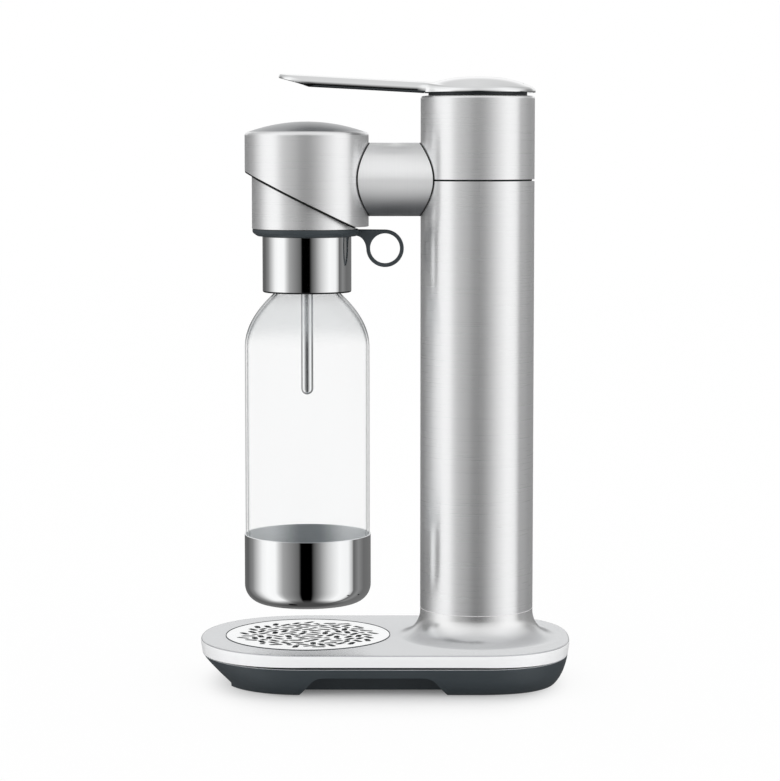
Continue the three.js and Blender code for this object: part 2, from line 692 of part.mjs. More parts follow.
function mouldingCuts() {
  const cuts = [];
  const arch = () => archOutline(
    SIDE_ARCH_FRONT_X, SIDE_ARCH_REAR_X, SIDE_ARCH_RUN, SIDE_ARCH_Z, SIDE_ARCH_FILLET,
  );
  cuts.push(sidePrism(arch(), SIDE_ARCH_INNER_Y, BASE_HALF_WIDTH + OVERRUN));
  cuts.push(sidePrism(arch(), -BASE_HALF_WIDTH - OVERRUN, -SIDE_ARCH_INNER_Y));
  const front = archOutline(
    -FRONT_ARCH_HALF, FRONT_ARCH_HALF, FRONT_ARCH_RUN, FRONT_ARCH_Z, FRONT_ARCH_FILLET,
  );
  const reach = BASE_FRONT_REACH - BOTTLE_AXIS_X + OVERRUN;
  cuts.push(sidePrism(front, -reach, FRONT_ARCH_REAR_X).rotateZ(-Math.PI / 2));
  for (const [x, y] of footPlaces()) {
    cuts.push(disc(FOOT_RADIUS + FIT, -OVERRUN, FOOT_HEIGHT + FIT, SMALL_STEPS).translate(x, y, 0));
  }
  for (const [x, y] of baseBossPlaces()) {
    const seat = FOOT_PROUD + BASE_SCREW_HEAD_HEIGHT + FIT;
    cuts.push(disc(BASE_SCREW_HEAD_RADIUS + FIT, -OVERRUN, seat, TINY_STEPS).translate(x, y, 0));
    cuts.push(disc(BASE_SCREW_RADIUS + FIT, 0, MOULDING_FLOOR_Z + OVERRUN, TINY_STEPS).translate(x, y, 0));
  }
  return cuts;
}

function footPlaces() {
  return [
    [FRONT_FOOT_X, -FRONT_FOOT_Y], [FRONT_FOOT_X, FRONT_FOOT_Y],
    [REAR_FOOT_X, -REAR_FOOT_Y], [REAR_FOOT_X, REAR_FOOT_Y],
  ];
}

function baseMoulding() {
  const lipInset = PLATE_DRAFT + PLATE_WALL + RUNNING_FIT;
  const hull = loft(mouldingFlank().map((point) => baseRing(point.x, level(point.y))));
  const lip = loft([
    baseRing(lipInset, level(MOULDING_TOP_Z - OVERRUN)),
    baseRing(lipInset, level(MOULDING_LIP_Z)),
  ]);
  const well = disc(TRAY_RADIUS + FIT, TRAY_LEDGE_Z, MOULDING_LIP_Z + OVERRUN)
    .translate(BOTTLE_AXIS_X, 0, 0);
  const topHollow = loft([
    baseRing(lipInset + MOULDING_LIP_WALL, level(SIDE_ARCH_Z + MOULDING_LIP_WALL)),
    baseRing(lipInset + MOULDING_LIP_WALL, level(MOULDING_LIP_Z + OVERRUN)),
  ]);
  const pocket = common(
    loft([
      baseRing(POCKET_INSET, level(MOULDING_FLOOR_Z)),
      baseRing(POCKET_INSET, level(MOULDING_LIP_Z)),
    ]),
    box(
      POCKET_FRONT_X, COLUMN_AXIS_X + BASE_REAR_REACH,
      -SIDE_ARCH_INNER_Y + MOULDING_LIP_WALL, SIDE_ARCH_INNER_Y - MOULDING_LIP_WALL,
      0, MOULDING_LIP_Z + OVERRUN,
    ),
  );
  return cut(join(hull, lip), well, topHollow, pocket, ...mouldingCuts());
}

// Feet and base screws
function foot() {
  return revolve([
    [0, 0], [FOOT_RADIUS - FOOT_PROUD, 0], [FOOT_RADIUS, FOOT_PROUD], [FOOT_RADIUS, FOOT_HEIGHT],
    [0, FOOT_HEIGHT],
  ], SMALL_STEPS);
}

function baseScrew() {
  const low = FOOT_PROUD + FIT;
  const neck = low + BASE_SCREW_HEAD_HEIGHT - FIT;
  return revolve([
    [0, low], [BASE_SCREW_HEAD_RADIUS, low], [BASE_SCREW_HEAD_RADIUS, neck], [BASE_SCREW_RADIUS, neck],
    [BASE_SCREW_RADIUS, neck + BASE_SCREW_LENGTH], [0, neck + BASE_SCREW_LENGTH],
  ], TINY_STEPS);
}

// Drip grille: rings of bean shaped slots that wander, so that no two lie alike
function grilleSlot(centreX, centreY, turn, stretch) {
  const path = new THREE.Path();
  for (let i = 0; i < GRILLE_HOLE_CORNERS; i += 1) {
    const angle = (2 * Math.PI * i) / GRILLE_HOLE_CORNERS;
    const u = GRILLE_HOLE_SIZE * stretch * Math.cos(angle);
    const v = GRILLE_HOLE_SIZE * Math.sin(angle) * (1 - Math.cos(angle) * GRILLE_HOLE_WAIST_SHARE);
    const x = centreX + u * Math.cos(turn) - v * Math.sin(turn);
    const y = centreY + u * Math.sin(turn) + v * Math.cos(turn);
    if (i === 0) path.moveTo(x, y);
    else path.lineTo(x, y);
  }
  path.closePath();
  return path;
}

function dripGrille() {
  const shape = new THREE.Shape();
  shape.absarc(0, 0, TRAY_RADIUS - FIT, 0, 2 * Math.PI);
  const spread = TRAY_RADIUS - GRILLE_RIM - GRILLE_HOLE_SIZE;
  const goldenTurn = Math.PI * (3 - Math.sqrt(5));
  for (let i = 0; i < GRILLE_HOLES; i += 1) {
    const radius = spread * Math.sqrt((i + 1 / 2) / GRILLE_HOLES);
    const angle = i * goldenTurn;
    const turn = angle * 2 + Math.sin(i) * GRILLE_TURN_WANDER;
    const stretch = GRILLE_STRETCH_SHARE + GRILLE_STRETCH_SPREAD_SHARE * Math.sin(i * GRILLE_STRETCH_STEP);
    shape.holes.push(grilleSlot(radius * Math.cos(angle), radius * Math.sin(angle), turn, stretch));
  }
  const geometry = new THREE.ExtrudeGeometry(shape, {
    depth: GRILLE_THICKNESS, bevelEnabled: false, curveSegments: ROUND_STEPS / 2,
  });
  return geometry.translate(BOTTLE_AXIS_X, 0, BASE_TOP_Z - GRILLE_THICKNESS + FIT);
}

function dripCup() {
  const low = TRAY_LEDGE_Z + FIT;
  const high = BASE_TOP_Z - GRILLE_THICKNESS;
  const outer = TRAY_RADIUS - FIT;
  return revolve([
    [0, low], [outer - CUP_CORNER, low], [outer, low + CUP_CORNER], [outer, high],
    [outer - CUP_WALL, high], [outer - CUP_WALL, low + CUP_FLOOR + CUP_CORNER],
    [outer - CUP_WALL - CUP_CORNER, low + CUP_FLOOR], [0, low + CUP_FLOOR],
  ]).translate(BOTTLE_AXIS_X, 0, 0);
}

part('base_plate', basePlate(), brushedSteel, base);
part('base_moulding', baseMoulding(), darkPlastic, base);
const footNames = ['foot_front_left', 'foot_front_right', 'foot_rear_left', 'foot_rear_right'];
footPlaces().forEach(([x, y], i) => part(footNames[i], foot().translate(x, y, 0), blackRubber, base));
baseBossPlaces().forEach(([x, y], i) => {
  part(`base_screw_${i + 1}`, baseScrew().translate(x, y, 0), castAluminium, base);
});
part('drip_grille', dripGrille(), polishedSteel, base);
part('drip_cup', dripCup(), charcoalPlastic, base);

// Column: the lower tube is split into a front shell and a rear cover, the head sits above the seam
function armBore() {
  return rod(
    at(-COLUMN_RADIUS - OVERRUN, 0, ARM_AXIS_Z), at(-ARM_CORE_RADIUS, 0, ARM_AXIS_Z),
    ARM_CORE_RADIUS + RUNNING_FIT,
  );
}

function columnHalf(side) {
  const whole = tubeRing(COLUMN_RADIUS, COLUMN_RADIUS - COLUMN_WALL, FLARE_TOP_Z + FIT, COLUMN_SEAM_Z);
  const near = side * FIT / 2;
  const far = side * (COLUMN_RADIUS + OVERRUN);
  const keep = box(
    Math.min(near, far), Math.max(near, far),
    -COLUMN_RADIUS - OVERRUN, COLUMN_RADIUS + OVERRUN, 0, COLUMN_TOP_Z,
  );
  const half = common(whole, keep);
  return side < 0 ? cut(half, armBore()) : half;
}

function columnHead() {
  const inner = COLUMN_RADIUS - COLUMN_WALL;
  const corner = COLUMN_EDGE_ROUNDING;
  const shell = revolve([
    [inner, COLUMN_SEAM_Z + SEAM_GAP],
    [COLUMN_RADIUS, COLUMN_SEAM_Z + SEAM_GAP],
    ...arc(COLUMN_RADIUS - corner, COLUMN_TOP_Z - corner, corner, OUTWARD, UPWARD, CORNER_STEPS),
    [HEAD_MOUTH_RADIUS, COLUMN_TOP_Z],
    [HEAD_MOUTH_RADIUS, COLUMN_TOP_Z - COLUMN_WALL],
    [inner, COLUMN_TOP_Z - COLUMN_WALL],
  ]);
  return cut(shell, armBore());
}

// Chassis: a channel that stands in the front of the column and carries the valve block and the arm
function chassis() {
  const top = VALVE_BLOCK_LOW_Z - FIT;
  const channel = tubeRing(CHASSIS_RADIUS, CHASSIS_RADIUS - CHASSIS_WALL, CHASSIS_LOW_Z, top);
  const half = CHASSIS_RADIUS * Math.sin(CHASSIS_HALF_ANGLE);
  const back = -CHASSIS_RADIUS * Math.cos(CHASSIS_HALF_ANGLE);
  const front = box(-COLUMN_RADIUS, back, -half, half, 0, COLUMN_TOP_Z);
  const plate = disc(CHASSIS_RADIUS - CHASSIS_WALL / 2, CHASSIS_LOW_Z, CHASSIS_LOW_Z + CHASSIS_WALL);
  const seat = rod(
    at(-COLUMN_RADIUS - OVERRUN, 0, ARM_AXIS_Z), at(-ARM_CORE_RADIUS, 0, ARM_AXIS_Z), ARM_CORE_RADIUS + FIT,
  );
  return cut(join(common(channel, front), plate), seat);
}

function cylinderRest() {
  const outer = CHASSIS_RADIUS - CHASSIS_WALL - FIT;
  const low = CHASSIS_LOW_Z + CHASSIS_WALL + FIT;
  const floor = CYLINDER_BOTTOM_Z - FIT;
  return revolve([
    [REST_HOLE_RADIUS, low], [outer, low], [outer, low + REST_HEIGHT],
    [CYLINDER_RADIUS + RUNNING_FIT, low + REST_HEIGHT], [CYLINDER_RADIUS + RUNNING_FIT, floor],
    [REST_HOLE_RADIUS, floor],
  ], MIDDLE_STEPS);
}

function gasCylinder() {
  const shoulder = new THREE.CubicBezierCurve(
    xz(CYLINDER_RADIUS, CYLINDER_SHOULDER_Z),
    xz(CYLINDER_RADIUS, CYLINDER_SHOULDER_Z + CYLINDER_SHOULDER_PULL),
    xz(CYLINDER_NECK_RADIUS, CYLINDER_NECK_Z - CYLINDER_NECK_PULL),
    xz(CYLINDER_NECK_RADIUS, CYLINDER_NECK_Z),
  ).getPoints(ARC_STEPS).map((point) => [point.x, point.y]);
  const corner = CYLINDER_BOTTOM_ROUNDING;
  return revolve([
    [0, CYLINDER_BOTTOM_Z + CYLINDER_KICK],
    [CYLINDER_KICK_RADIUS, CYLINDER_BOTTOM_Z],
    ...arc(CYLINDER_RADIUS - corner, CYLINDER_BOTTOM_Z + corner, corner, DOWNWARD, FULL_TURN, CORNER_STEPS),
    ...shoulder,
    [CYLINDER_PORT_RADIUS, CYLINDER_NECK_Z],
    [CYLINDER_PORT_RADIUS, CYLINDER_NECK_Z - CYLINDER_PORT_DEPTH],
    [CYLINDER_RADIUS - CYLINDER_WALL, CYLINDER_SHOULDER_Z - CYLINDER_WALL],
    [CYLINDER_RADIUS - CYLINDER_WALL, CYLINDER_BOTTOM_Z + corner],
    [CYLINDER_RADIUS - corner, CYLINDER_BOTTOM_Z + CYLINDER_WALL],
    [0, CYLINDER_BOTTOM_Z + CYLINDER_KICK + CYLINDER_WALL],
  ], MIDDLE_STEPS);
}

function cylinderValve() {
  const low = CYLINDER_NECK_Z + FIT;
  const top = VALVE_BLOCK_LOW_Z + VALVE_SOCKET_DEPTH - FIT;
  const stem = revolve([
    [0, low - VALVE_TAIL], [CYLINDER_PORT_RADIUS - FIT, low - VALVE_TAIL],
    [CYLINDER_PORT_RADIUS - FIT, low], [VALVE_RADIUS, low], [VALVE_RADIUS, top - VALVE_PIN_RADIUS],
    [VALVE_PIN_RADIUS, top - VALVE_PIN_RADIUS], [VALVE_PIN_RADIUS, top], [0, top],
  ], SMALL_STEPS);
  const hex = disc(VALVE_HEX_RADIUS, low, low + VALVE_HEX_HEIGHT, HEX_SIDES);
  return join(stem, hex);
}

function valveBlock() {
  const block = common(
    disc(CHASSIS_RADIUS, VALVE_BLOCK_LOW_Z, VALVE_BLOCK_HIGH_Z),
    box(
      -COLUMN_RADIUS, VALVE_BLOCK_REAR_X, -VALVE_BLOCK_HALF_WIDTH, VALVE_BLOCK_HALF_WIDTH,
      VALVE_BLOCK_LOW_Z, VALVE_BLOCK_HIGH_Z,
    ),
  );
  const socketTop = VALVE_BLOCK_LOW_Z + VALVE_SOCKET_DEPTH;
  const socket = disc(VALVE_RADIUS + RUNNING_FIT, VALVE_BLOCK_LOW_Z - OVERRUN, socketTop, SMALL_STEPS);
  const bore = disc(PLUNGER_RADIUS + FIT, socketTop - FIT, VALVE_BLOCK_HIGH_Z + OVERRUN, SMALL_STEPS);
  return cut(block, socket, bore);
}

function plunger() {
  const collarTop = PLUNGER_COLLAR_Z + PLUNGER_COLLAR;
  return revolve([
    [0, PLUNGER_LOW_Z], [PLUNGER_RADIUS, PLUNGER_LOW_Z], [PLUNGER_RADIUS, PLUNGER_COLLAR_Z],
    [PLUNGER_COLLAR_RADIUS, PLUNGER_COLLAR_Z],
    [PLUNGER_COLLAR_RADIUS, collarTop], [PLUNGER_RADIUS, collarTop],
    [PLUNGER_RADIUS, PLUNGER_TOP_Z - PLUNGER_BUTTON],
    [PLUNGER_BUTTON_RADIUS, PLUNGER_TOP_Z - PLUNGER_BUTTON],
    [PLUNGER_BUTTON_RADIUS, PLUNGER_TOP_Z - PLUNGER_BUTTON / 2], [PLUNGER_RADIUS, PLUNGER_TOP_Z],
    [0, PLUNGER_TOP_Z],
  ], SMALL_STEPS);
}

// Return spring: one unbroken wire, wound by formula between the valve block and the plunger collar
function returnSpring() {
  const low = VALVE_BLOCK_HIGH_Z + FIT + SPRING_WIRE_RADIUS;
  const high = PLUNGER_COLLAR_Z - FIT - SPRING_WIRE_RADIUS;
  const points = [];
  const steps = SPRING_TURNS * SPRING_STEPS_PER_TURN;
  for (let i = 0; i <= steps; i += 1) {
    const angle = (2 * Math.PI * i) / SPRING_STEPS_PER_TURN;
    const rise = low + ((high - low) * i) / steps;
    points.push(at(SPRING_COIL_RADIUS * Math.cos(angle), SPRING_COIL_RADIUS * Math.sin(angle), rise));
  }
  return wire(points, SPRING_WIRE_RADIUS, SPRING_SIDES);
}

// A bar of a few sides carried along a row of points
function wire(points, radius, sides) {
  const rings = points.map((point, i) => {
    const before = points[Math.max(i - 1, 0)];
    const after = points[Math.min(i + 1, points.length - 1)];
    const along = after.clone().sub(before).normalize();
    const outward = at(point.x, point.y, 0).normalize();
    const side = outward.clone().addScaledVector(along, -outward.dot(along)).normalize();
    const up = along.clone().cross(side);
    return Array.from({ length: sides }, (_, k) => {
      const angle = (2 * Math.PI * k) / sides;
      const outer = point.clone().addScaledVector(side, radius * Math.cos(angle));
      return outer.addScaledVector(up, radius * Math.sin(angle));
    });
  });
  return loft(rings);
}

// Top insert: closes the column under the lever and carries the lever pin
function topInsert() {
  const deck = INSERT_TOP_Z - INSERT_DECK;
  const spigot = HEAD_MOUTH_RADIUS - FIT;
  const body = revolve([
    [PLUNGER_RADIUS + RUNNING_FIT, deck], [spigot - INSERT_WALL, deck],
    [spigot - INSERT_WALL, INSERT_SPIGOT_Z],
    [spigot, INSERT_SPIGOT_Z], [spigot, COLUMN_TOP_Z + FIT], [INSERT_RADIUS, COLUMN_TOP_Z + FIT],
    [INSERT_RADIUS, INSERT_BEVEL_Z], [INSERT_BEVEL_RADIUS, INSERT_TOP_Z],
    [PLUNGER_RADIUS + RUNNING_FIT, INSERT_TOP_Z],
  ], MIDDLE_STEPS);
  const slots = [-1, 1].map((side) => box(
    LEVER_PIN_X - LEVER_LUG_RADIUS - RUNNING_FIT, LEVER_PIN_X + LEVER_LUG_RADIUS + RUNNING_FIT,
    side * LEVER_LUG_Y - LEVER_LUG_WIDTH / 2 - RUNNING_FIT,
    side * LEVER_LUG_Y + LEVER_LUG_WIDTH / 2 + RUNNING_FIT,
    INSERT_SPIGOT_Z - OVERRUN, INSERT_TOP_Z + OVERRUN,
  ));
  return cut(body, ...slots, leverPinRod(LEVER_PIN_RADIUS + FIT, LEVER_PIN_HALF + FIT));
}

function leverPinRod(radius, half) {
  return rod(at(LEVER_PIN_X, -half, LEVER_PIN_Z), at(LEVER_PIN_X, half, LEVER_PIN_Z), radius, TINY_STEPS);
}

part('column_front_shell', columnHalf(-1), brushedSteel, column);
part('back_cover', columnHalf(1), brushedSteel, column);
part('column_head_shell', columnHead(), brushedSteel, column);
part('column_chassis', chassis(), castAluminium, column);
part('cylinder_rest', cylinderRest(), charcoalPlastic, column);
part('gas_cylinder', gasCylinder(), cylinderSteel, column);
part('cylinder_valve', cylinderValve(), brass, column);
part('valve_block', valveBlock(), castAluminium, column);
part('valve_plunger', plunger(), polishedSteel, column);
part('return_spring', returnSpring(), cylinderSteel, column);
part('top_insert', topInsert(), charcoalPlastic, column);
part('lever_pin', leverPinRod(LEVER_PIN_RADIUS, LEVER_PIN_HALF), castAluminium, column);

// Lever: a polished dome over the column that runs out into a slim handle, hollow below
function easedMax(first, second, blend) {
  return (first + second + Math.hypot(first - second, blend)) / 2;
}

function leverHalfWidth(x) {
  const reach = x - COLUMN_AXIS_X;
  const round = Math.sqrt(Math.max(LEVER_RADIUS ** 2 - reach ** 2, 0));
  const run = THREE.MathUtils.clamp((x - LEVER_TIP_X) / (LEVER_SADDLE_X - LEVER_TIP_X), 0, 1);
  const straight = THREE.MathUtils.lerp(LEVER_GRIP_HALF_WIDTH, LEVER_ROOT_HALF_WIDTH, run ** 2);
  const nose = THREE.MathUtils.clamp(1 - (x - LEVER_TIP_X) / LEVER_GRIP_HALF_WIDTH, 0, 1);
  const fade = THREE.MathUtils.clamp((COLUMN_AXIS_X - x) / (COLUMN_AXIS_X - LEVER_SADDLE_X), 0, 1);
  const grip = straight * Math.sqrt(1 - nose ** 2) * fade;
  return easedMax(round, grip, LEVER_WIDTH_BLEND * Math.min(fade, 1 - nose));
}

function leverTop(x, y, halfWidth) {
  const radius = Math.hypot(x - COLUMN_AXIS_X, y);
  const dome = LEVER_DOME_Z - LEVER_DOME_DROP * (radius / LEVER_RADIUS) ** LEVER_DOME_POWER;
  const run = (x - LEVER_TIP_X) / (LEVER_SADDLE_X - LEVER_TIP_X);
  const past = Math.max(x - LEVER_SADDLE_X, 0);
  const spine = THREE.MathUtils.lerp(LEVER_TIP_TOP_Z, LEVER_SADDLE_Z, run) - past * LEVER_SPINE_FALL_SHARE;
  const grip = spine - LEVER_CROWN * (y / halfWidth) ** 2;
  return easedMax(dome, grip, LEVER_HEIGHT_BLEND);
}

function leverEdge(x) {
  if (x >= LEVER_SADDLE_X) return LEVER_RIM_Z;
  if (x >= LEVER_BEAK_X) {
    return THREE.MathUtils.mapLinear(x, LEVER_SADDLE_X, LEVER_BEAK_X, LEVER_RIM_Z, LEVER_BEAK_EDGE_Z);
  }
  const run = (LEVER_BEAK_X - x) / (LEVER_BEAK_X - LEVER_TIP_X);
  return THREE.MathUtils.lerp(LEVER_BEAK_EDGE_Z, LEVER_TIP_EDGE_Z, run ** LEVER_BEAK_POWER);
}

function leverRing(x, inset, drop) {
  const halfWidth = leverHalfWidth(x);
  const width = halfWidth - inset;
  const ring = [];
  for (let i = 0; i <= LEVER_CROWN_STEPS; i += 1) {
    const y = -width * Math.cos((Math.PI * i) / LEVER_CROWN_STEPS);
    ring.push(at(x, y, leverTop(x, y, halfWidth) - inset));
  }
  ring.push(at(x, width, leverEdge(x) - drop), at(x, -width, leverEdge(x) - drop));
  return ring;
}

function leverStations(from, to) {
  return Array.from({ length: LEVER_STATIONS + 1 }, (_, i) => (
    THREE.MathUtils.lerp(from, to, (1 - Math.cos((Math.PI * i) / LEVER_STATIONS)) / 2)
  ));
}

function lever() {
  const tail = COLUMN_AXIS_X + LEVER_RADIUS;
  const outer = leverStations(LEVER_TIP_X + FIT, tail - FIT).map((x) => leverRing(x, 0, 0));
  const hollowFrom = LEVER_TIP_X + LEVER_TIP_WALL;
  const hollowTo = tail - LEVER_WALL - FIT;
  const inner = leverStations(hollowFrom, hollowTo).map((x) => leverRing(x, LEVER_WALL, OVERRUN));
  const shell = cut(loft(outer), loft(inner));
  const pinX = COLUMN_AXIS_X + LEVER_PIN_X;
  const lugs = [-1, 1].map((side) => {
    const near = side * LEVER_LUG_Y - LEVER_LUG_WIDTH / 2;
    const far = near + LEVER_LUG_WIDTH;
    const web = box(
      pinX - LEVER_LUG_WEB_HALF, pinX + LEVER_LUG_WEB_HALF, near, far,
      LEVER_PIN_Z, leverTop(pinX, near, LEVER_RADIUS) - LEVER_WALL / 2,
    );
    const eye = rod(at(pinX, near, LEVER_PIN_Z), at(pinX, far, LEVER_PIN_Z), LEVER_LUG_RADIUS, TINY_STEPS);
    return join(web, eye);
  });
  const pinBore = rod(
    at(pinX, -LEVER_PIN_HALF, LEVER_PIN_Z), at(pinX, LEVER_PIN_HALF, LEVER_PIN_Z),
    LEVER_PIN_RADIUS + FIT, TINY_STEPS,
  );
  return cut(join(shell, ...lugs), pinBore);
}

function gripInsert() {
  const stations = leverStations(GRIP_INSERT_FRONT_X, GRIP_INSERT_REAR_X)
    .filter((_, i) => i % GRIP_INSERT_STRIDE === 0);
  return loft(stations.map((x) => {
    const width = leverHalfWidth(x) - LEVER_WALL - FIT;
    const low = leverEdge(x) + GRIP_INSERT_RECESS;
    const high = low + GRIP_INSERT_THICKNESS;
    return [at(x, -width, low), at(x, width, low), at(x, width, high), at(x, -width, high)];
  }));
}

part('lever', lever(), polishedSteel, base);
part('lever_grip_insert', gripInsert(), charcoalPlastic, base);

// Arm: barrel between two saddle gaskets, with the core that carries the hood inside it
function armRod(fromX, toX, radius, steps = MIDDLE_STEPS) {
  return rod(at(fromX, 0, ARM_AXIS_Z), at(toX, 0, ARM_AXIS_Z), radius, steps);
}

function armTube(outer, inner, steps = MIDDLE_STEPS) {
  return cut(
    armRod(BOTTLE_AXIS_X, COLUMN_AXIS_X, outer, steps),
    armRod(BOTTLE_AXIS_X - OVERRUN, COLUMN_AXIS_X + OVERRUN, inner, steps),
  );
}

function upright(centreX, radius) {
  return disc(radius, 0, COLUMN_TOP_Z).translate(centreX, 0, 0);
}

function armBarrel() {
  const stand = FIT + GASKET_THICKNESS + FIT;
  return cut(
    armTube(ARM_RADIUS, ARM_RADIUS - ARM_WALL),
    upright(BOTTLE_AXIS_X, HOOD_RADIUS + stand),
    upright(COLUMN_AXIS_X, COLUMN_RADIUS + stand),
  );
}

function armGasket(centreX, radius) {
  const ring = armTube(ARM_RADIUS + GASKET_PROUD, GASKET_BORE_RADIUS);
  const skin = cut(ring, upright(centreX, radius + FIT));
  return common(skin, upright(centreX, radius + FIT + GASKET_THICKNESS));
}

function armCore() {
  return cut(
    armRod(ARM_CORE_FRONT_X, ARM_CORE_REAR_X, ARM_CORE_RADIUS, SMALL_STEPS),
    armRod(
      ARM_CORE_FRONT_X - OVERRUN, ARM_CORE_REAR_X + OVERRUN,
      ARM_CORE_RADIUS - ARM_CORE_WALL, SMALL_STEPS,
    ),
  );
}

// Docking geometry: distances are measured square to the slanted plane through the hood axis
const dockNormal = at(Math.sin(DOCK_SLANT), 0, Math.cos(DOCK_SLANT));
const dockTangent = at(Math.cos(DOCK_SLANT), 0, -Math.sin(DOCK_SLANT));
const CAP_PLANE = -DOCK_SHADOW_GAP * Math.cos(DOCK_SLANT);
const DOCK_REACH = HOOD_RADIUS * 2;

function dockPoint(along, square) {
  return at(0, 0, DOCK_Z).addScaledVector(dockTangent, along).addScaledVector(dockNormal, square);
}

function dockSlab(fromAlong, toAlong, low, high, halfWidth) {
  const corners = [[fromAlong, low], [toAlong, low], [toAlong, high], [fromAlong, high]];
  const outline = corners.map(([along, square]) => {
    const point = dockPoint(along, square);
    return xz(point.x, point.z);
  });
  return sidePrism(outline, -halfWidth, halfWidth);
}

function dockHalf(low, high) {
  return dockSlab(-DOCK_REACH, DOCK_REACH, low, high, DOCK_REACH);
}

function dockTurned(profile, steps = SMALL_STEPS) {
  return revolve(profile, steps).rotateY(DOCK_SLANT).translate(0, 0, DOCK_Z);
}

function hookPoint() {
  const square = CAP_PLANE - HOOK_DEPTH;
  const along = (HOOK_X - dockNormal.x * square) / dockTangent.x;
  return { along, square, point: dockPoint(along, square) };
}

// Hood: a turned steel cup with a domed top, cut off on the slant
function hoodProfile(radius, top, shoulder, corner) {
  const rise = top - shoulder;
  const inner = radius - corner;
  const domeRadius = (inner ** 2 + rise ** 2) / (2 * rise);
  const domeAngle = THREE.MathUtils.radToDeg(Math.asin(inner / domeRadius));
  return [
    [0, HOOD_REAR_Z], [radius, HOOD_REAR_Z],
    ...arc(inner, shoulder - corner, corner, OUTWARD, UPWARD - domeAngle, CORNER_STEPS),
    ...arc(0, top - domeRadius, domeRadius, UPWARD - domeAngle * DOME_START_SHARE, UPWARD, CORNER_STEPS),
  ];
}

function hoodShell() {
  const outer = revolve(hoodProfile(HOOD_RADIUS, HOOD_TOP_Z, HOOD_SHOULDER_Z, HOOD_EDGE_ROUNDING));
  const innerCorner = HOOD_EDGE_ROUNDING - HOOD_WALL / 2;
  const inner = revolve(
    hoodProfile(HOOD_RADIUS - HOOD_WALL, HOOD_TOP_Z - HOOD_WALL, HOOD_SHOULDER_Z - HOOD_WALL, innerCorner),
  );
  const mouth = disc(HOOD_RADIUS - HOOD_WALL, HOOD_REAR_Z - OVERRUN, HOOD_REAR_Z + OVERRUN);
  const armHole = rod(
    at(0, 0, ARM_AXIS_Z), at(HOOD_RADIUS + OVERRUN, 0, ARM_AXIS_Z), ARM_CORE_RADIUS + RUNNING_FIT,
  );
  return cut(outer, inner, mouth, dockHalf(-DOCK_REACH, 0), armHole);
}

function dockPlate() {
  const plateTop = DOCK_PLATE_RECESS + DOCK_PLATE_THICKNESS;
  const radius = HOOD_RADIUS - HOOD_WALL - FIT;
  const whole = disc(radius, HOOD_REAR_Z + FIT, MOUNT_BLOCK_TOP_Z);
  const plate = common(whole, dockHalf(DOCK_PLATE_RECESS, plateTop));
  const block = common(
    box(
      MOUNT_BLOCK_FRONT_X, ARM_CORE_FRONT_X - BOTTLE_AXIS_X - FIT,
      -MOUNT_BLOCK_HALF_WIDTH, MOUNT_BLOCK_HALF_WIDTH, HOOD_REAR_Z, MOUNT_BLOCK_TOP_Z,
    ),
    dockHalf(plateTop - DOCK_PLATE_THICKNESS / 2, DOCK_REACH),
  );
  const hook = hookPoint();
  const hookBar = rod(
    hook.point.clone().setY(-HOOK_HALF_LENGTH), hook.point.clone().setY(HOOK_HALF_LENGTH),
    HOOK_RADIUS, TINY_STEPS,
  );
  const hookNeck = dockSlab(
    hook.along - HOOK_NECK / 2, hook.along + HOOK_NECK / 2,
    hook.square, plateTop - DOCK_PLATE_THICKNESS / 2, HOOK_HALF_LENGTH,
  );
  const nozzleHole = rod(dockPoint(0, -OVERRUN), dockPoint(0, plateTop + OVERRUN), NOZZLE_RADIUS + FIT);
  const tubeHole = rod(
    at(0, 0, ARM_AXIS_Z), at(HOOD_RADIUS, 0, ARM_AXIS_Z), MOUNT_TUBE_HOLE, TINY_STEPS,
  );
  return cut(join(plate, block, hookBar, hookNeck), nozzleHole, tubeHole);
}

function gasNozzle() {
  const seat = DOCK_PLATE_RECESS + DOCK_PLATE_THICKNESS + FIT;
  const tail = seat + NOZZLE_FLANGE + NOZZLE_TAIL;
  return dockTurned([
    [NOZZLE_BORE, -NOZZLE_REACH], [NOZZLE_RADIUS - FIT, -NOZZLE_REACH],
    [NOZZLE_RADIUS, -NOZZLE_REACH + FIT],
    [NOZZLE_RADIUS, seat], [NOZZLE_FLANGE_RADIUS, seat], [NOZZLE_FLANGE_RADIUS, seat + NOZZLE_FLANGE],
    [NOZZLE_TAIL_RADIUS, seat + NOZZLE_FLANGE], [NOZZLE_TAIL_RADIUS, tail], [NOZZLE_BORE, tail],
  ]);
}

function nozzleSeal() {
  const inner = NOZZLE_RADIUS + FIT;
  return dockTurned([
    [inner, -NOZZLE_SEAL_HALF + FIT], [inner + FIT, -NOZZLE_SEAL_HALF],
    [NOZZLE_SEAL_RADIUS - FIT, -NOZZLE_SEAL_HALF], [NOZZLE_SEAL_RADIUS, -NOZZLE_SEAL_HALF + FIT],
    [NOZZLE_SEAL_RADIUS, NOZZLE_SEAL_HALF], [inner, NOZZLE_SEAL_HALF],
  ]);
}

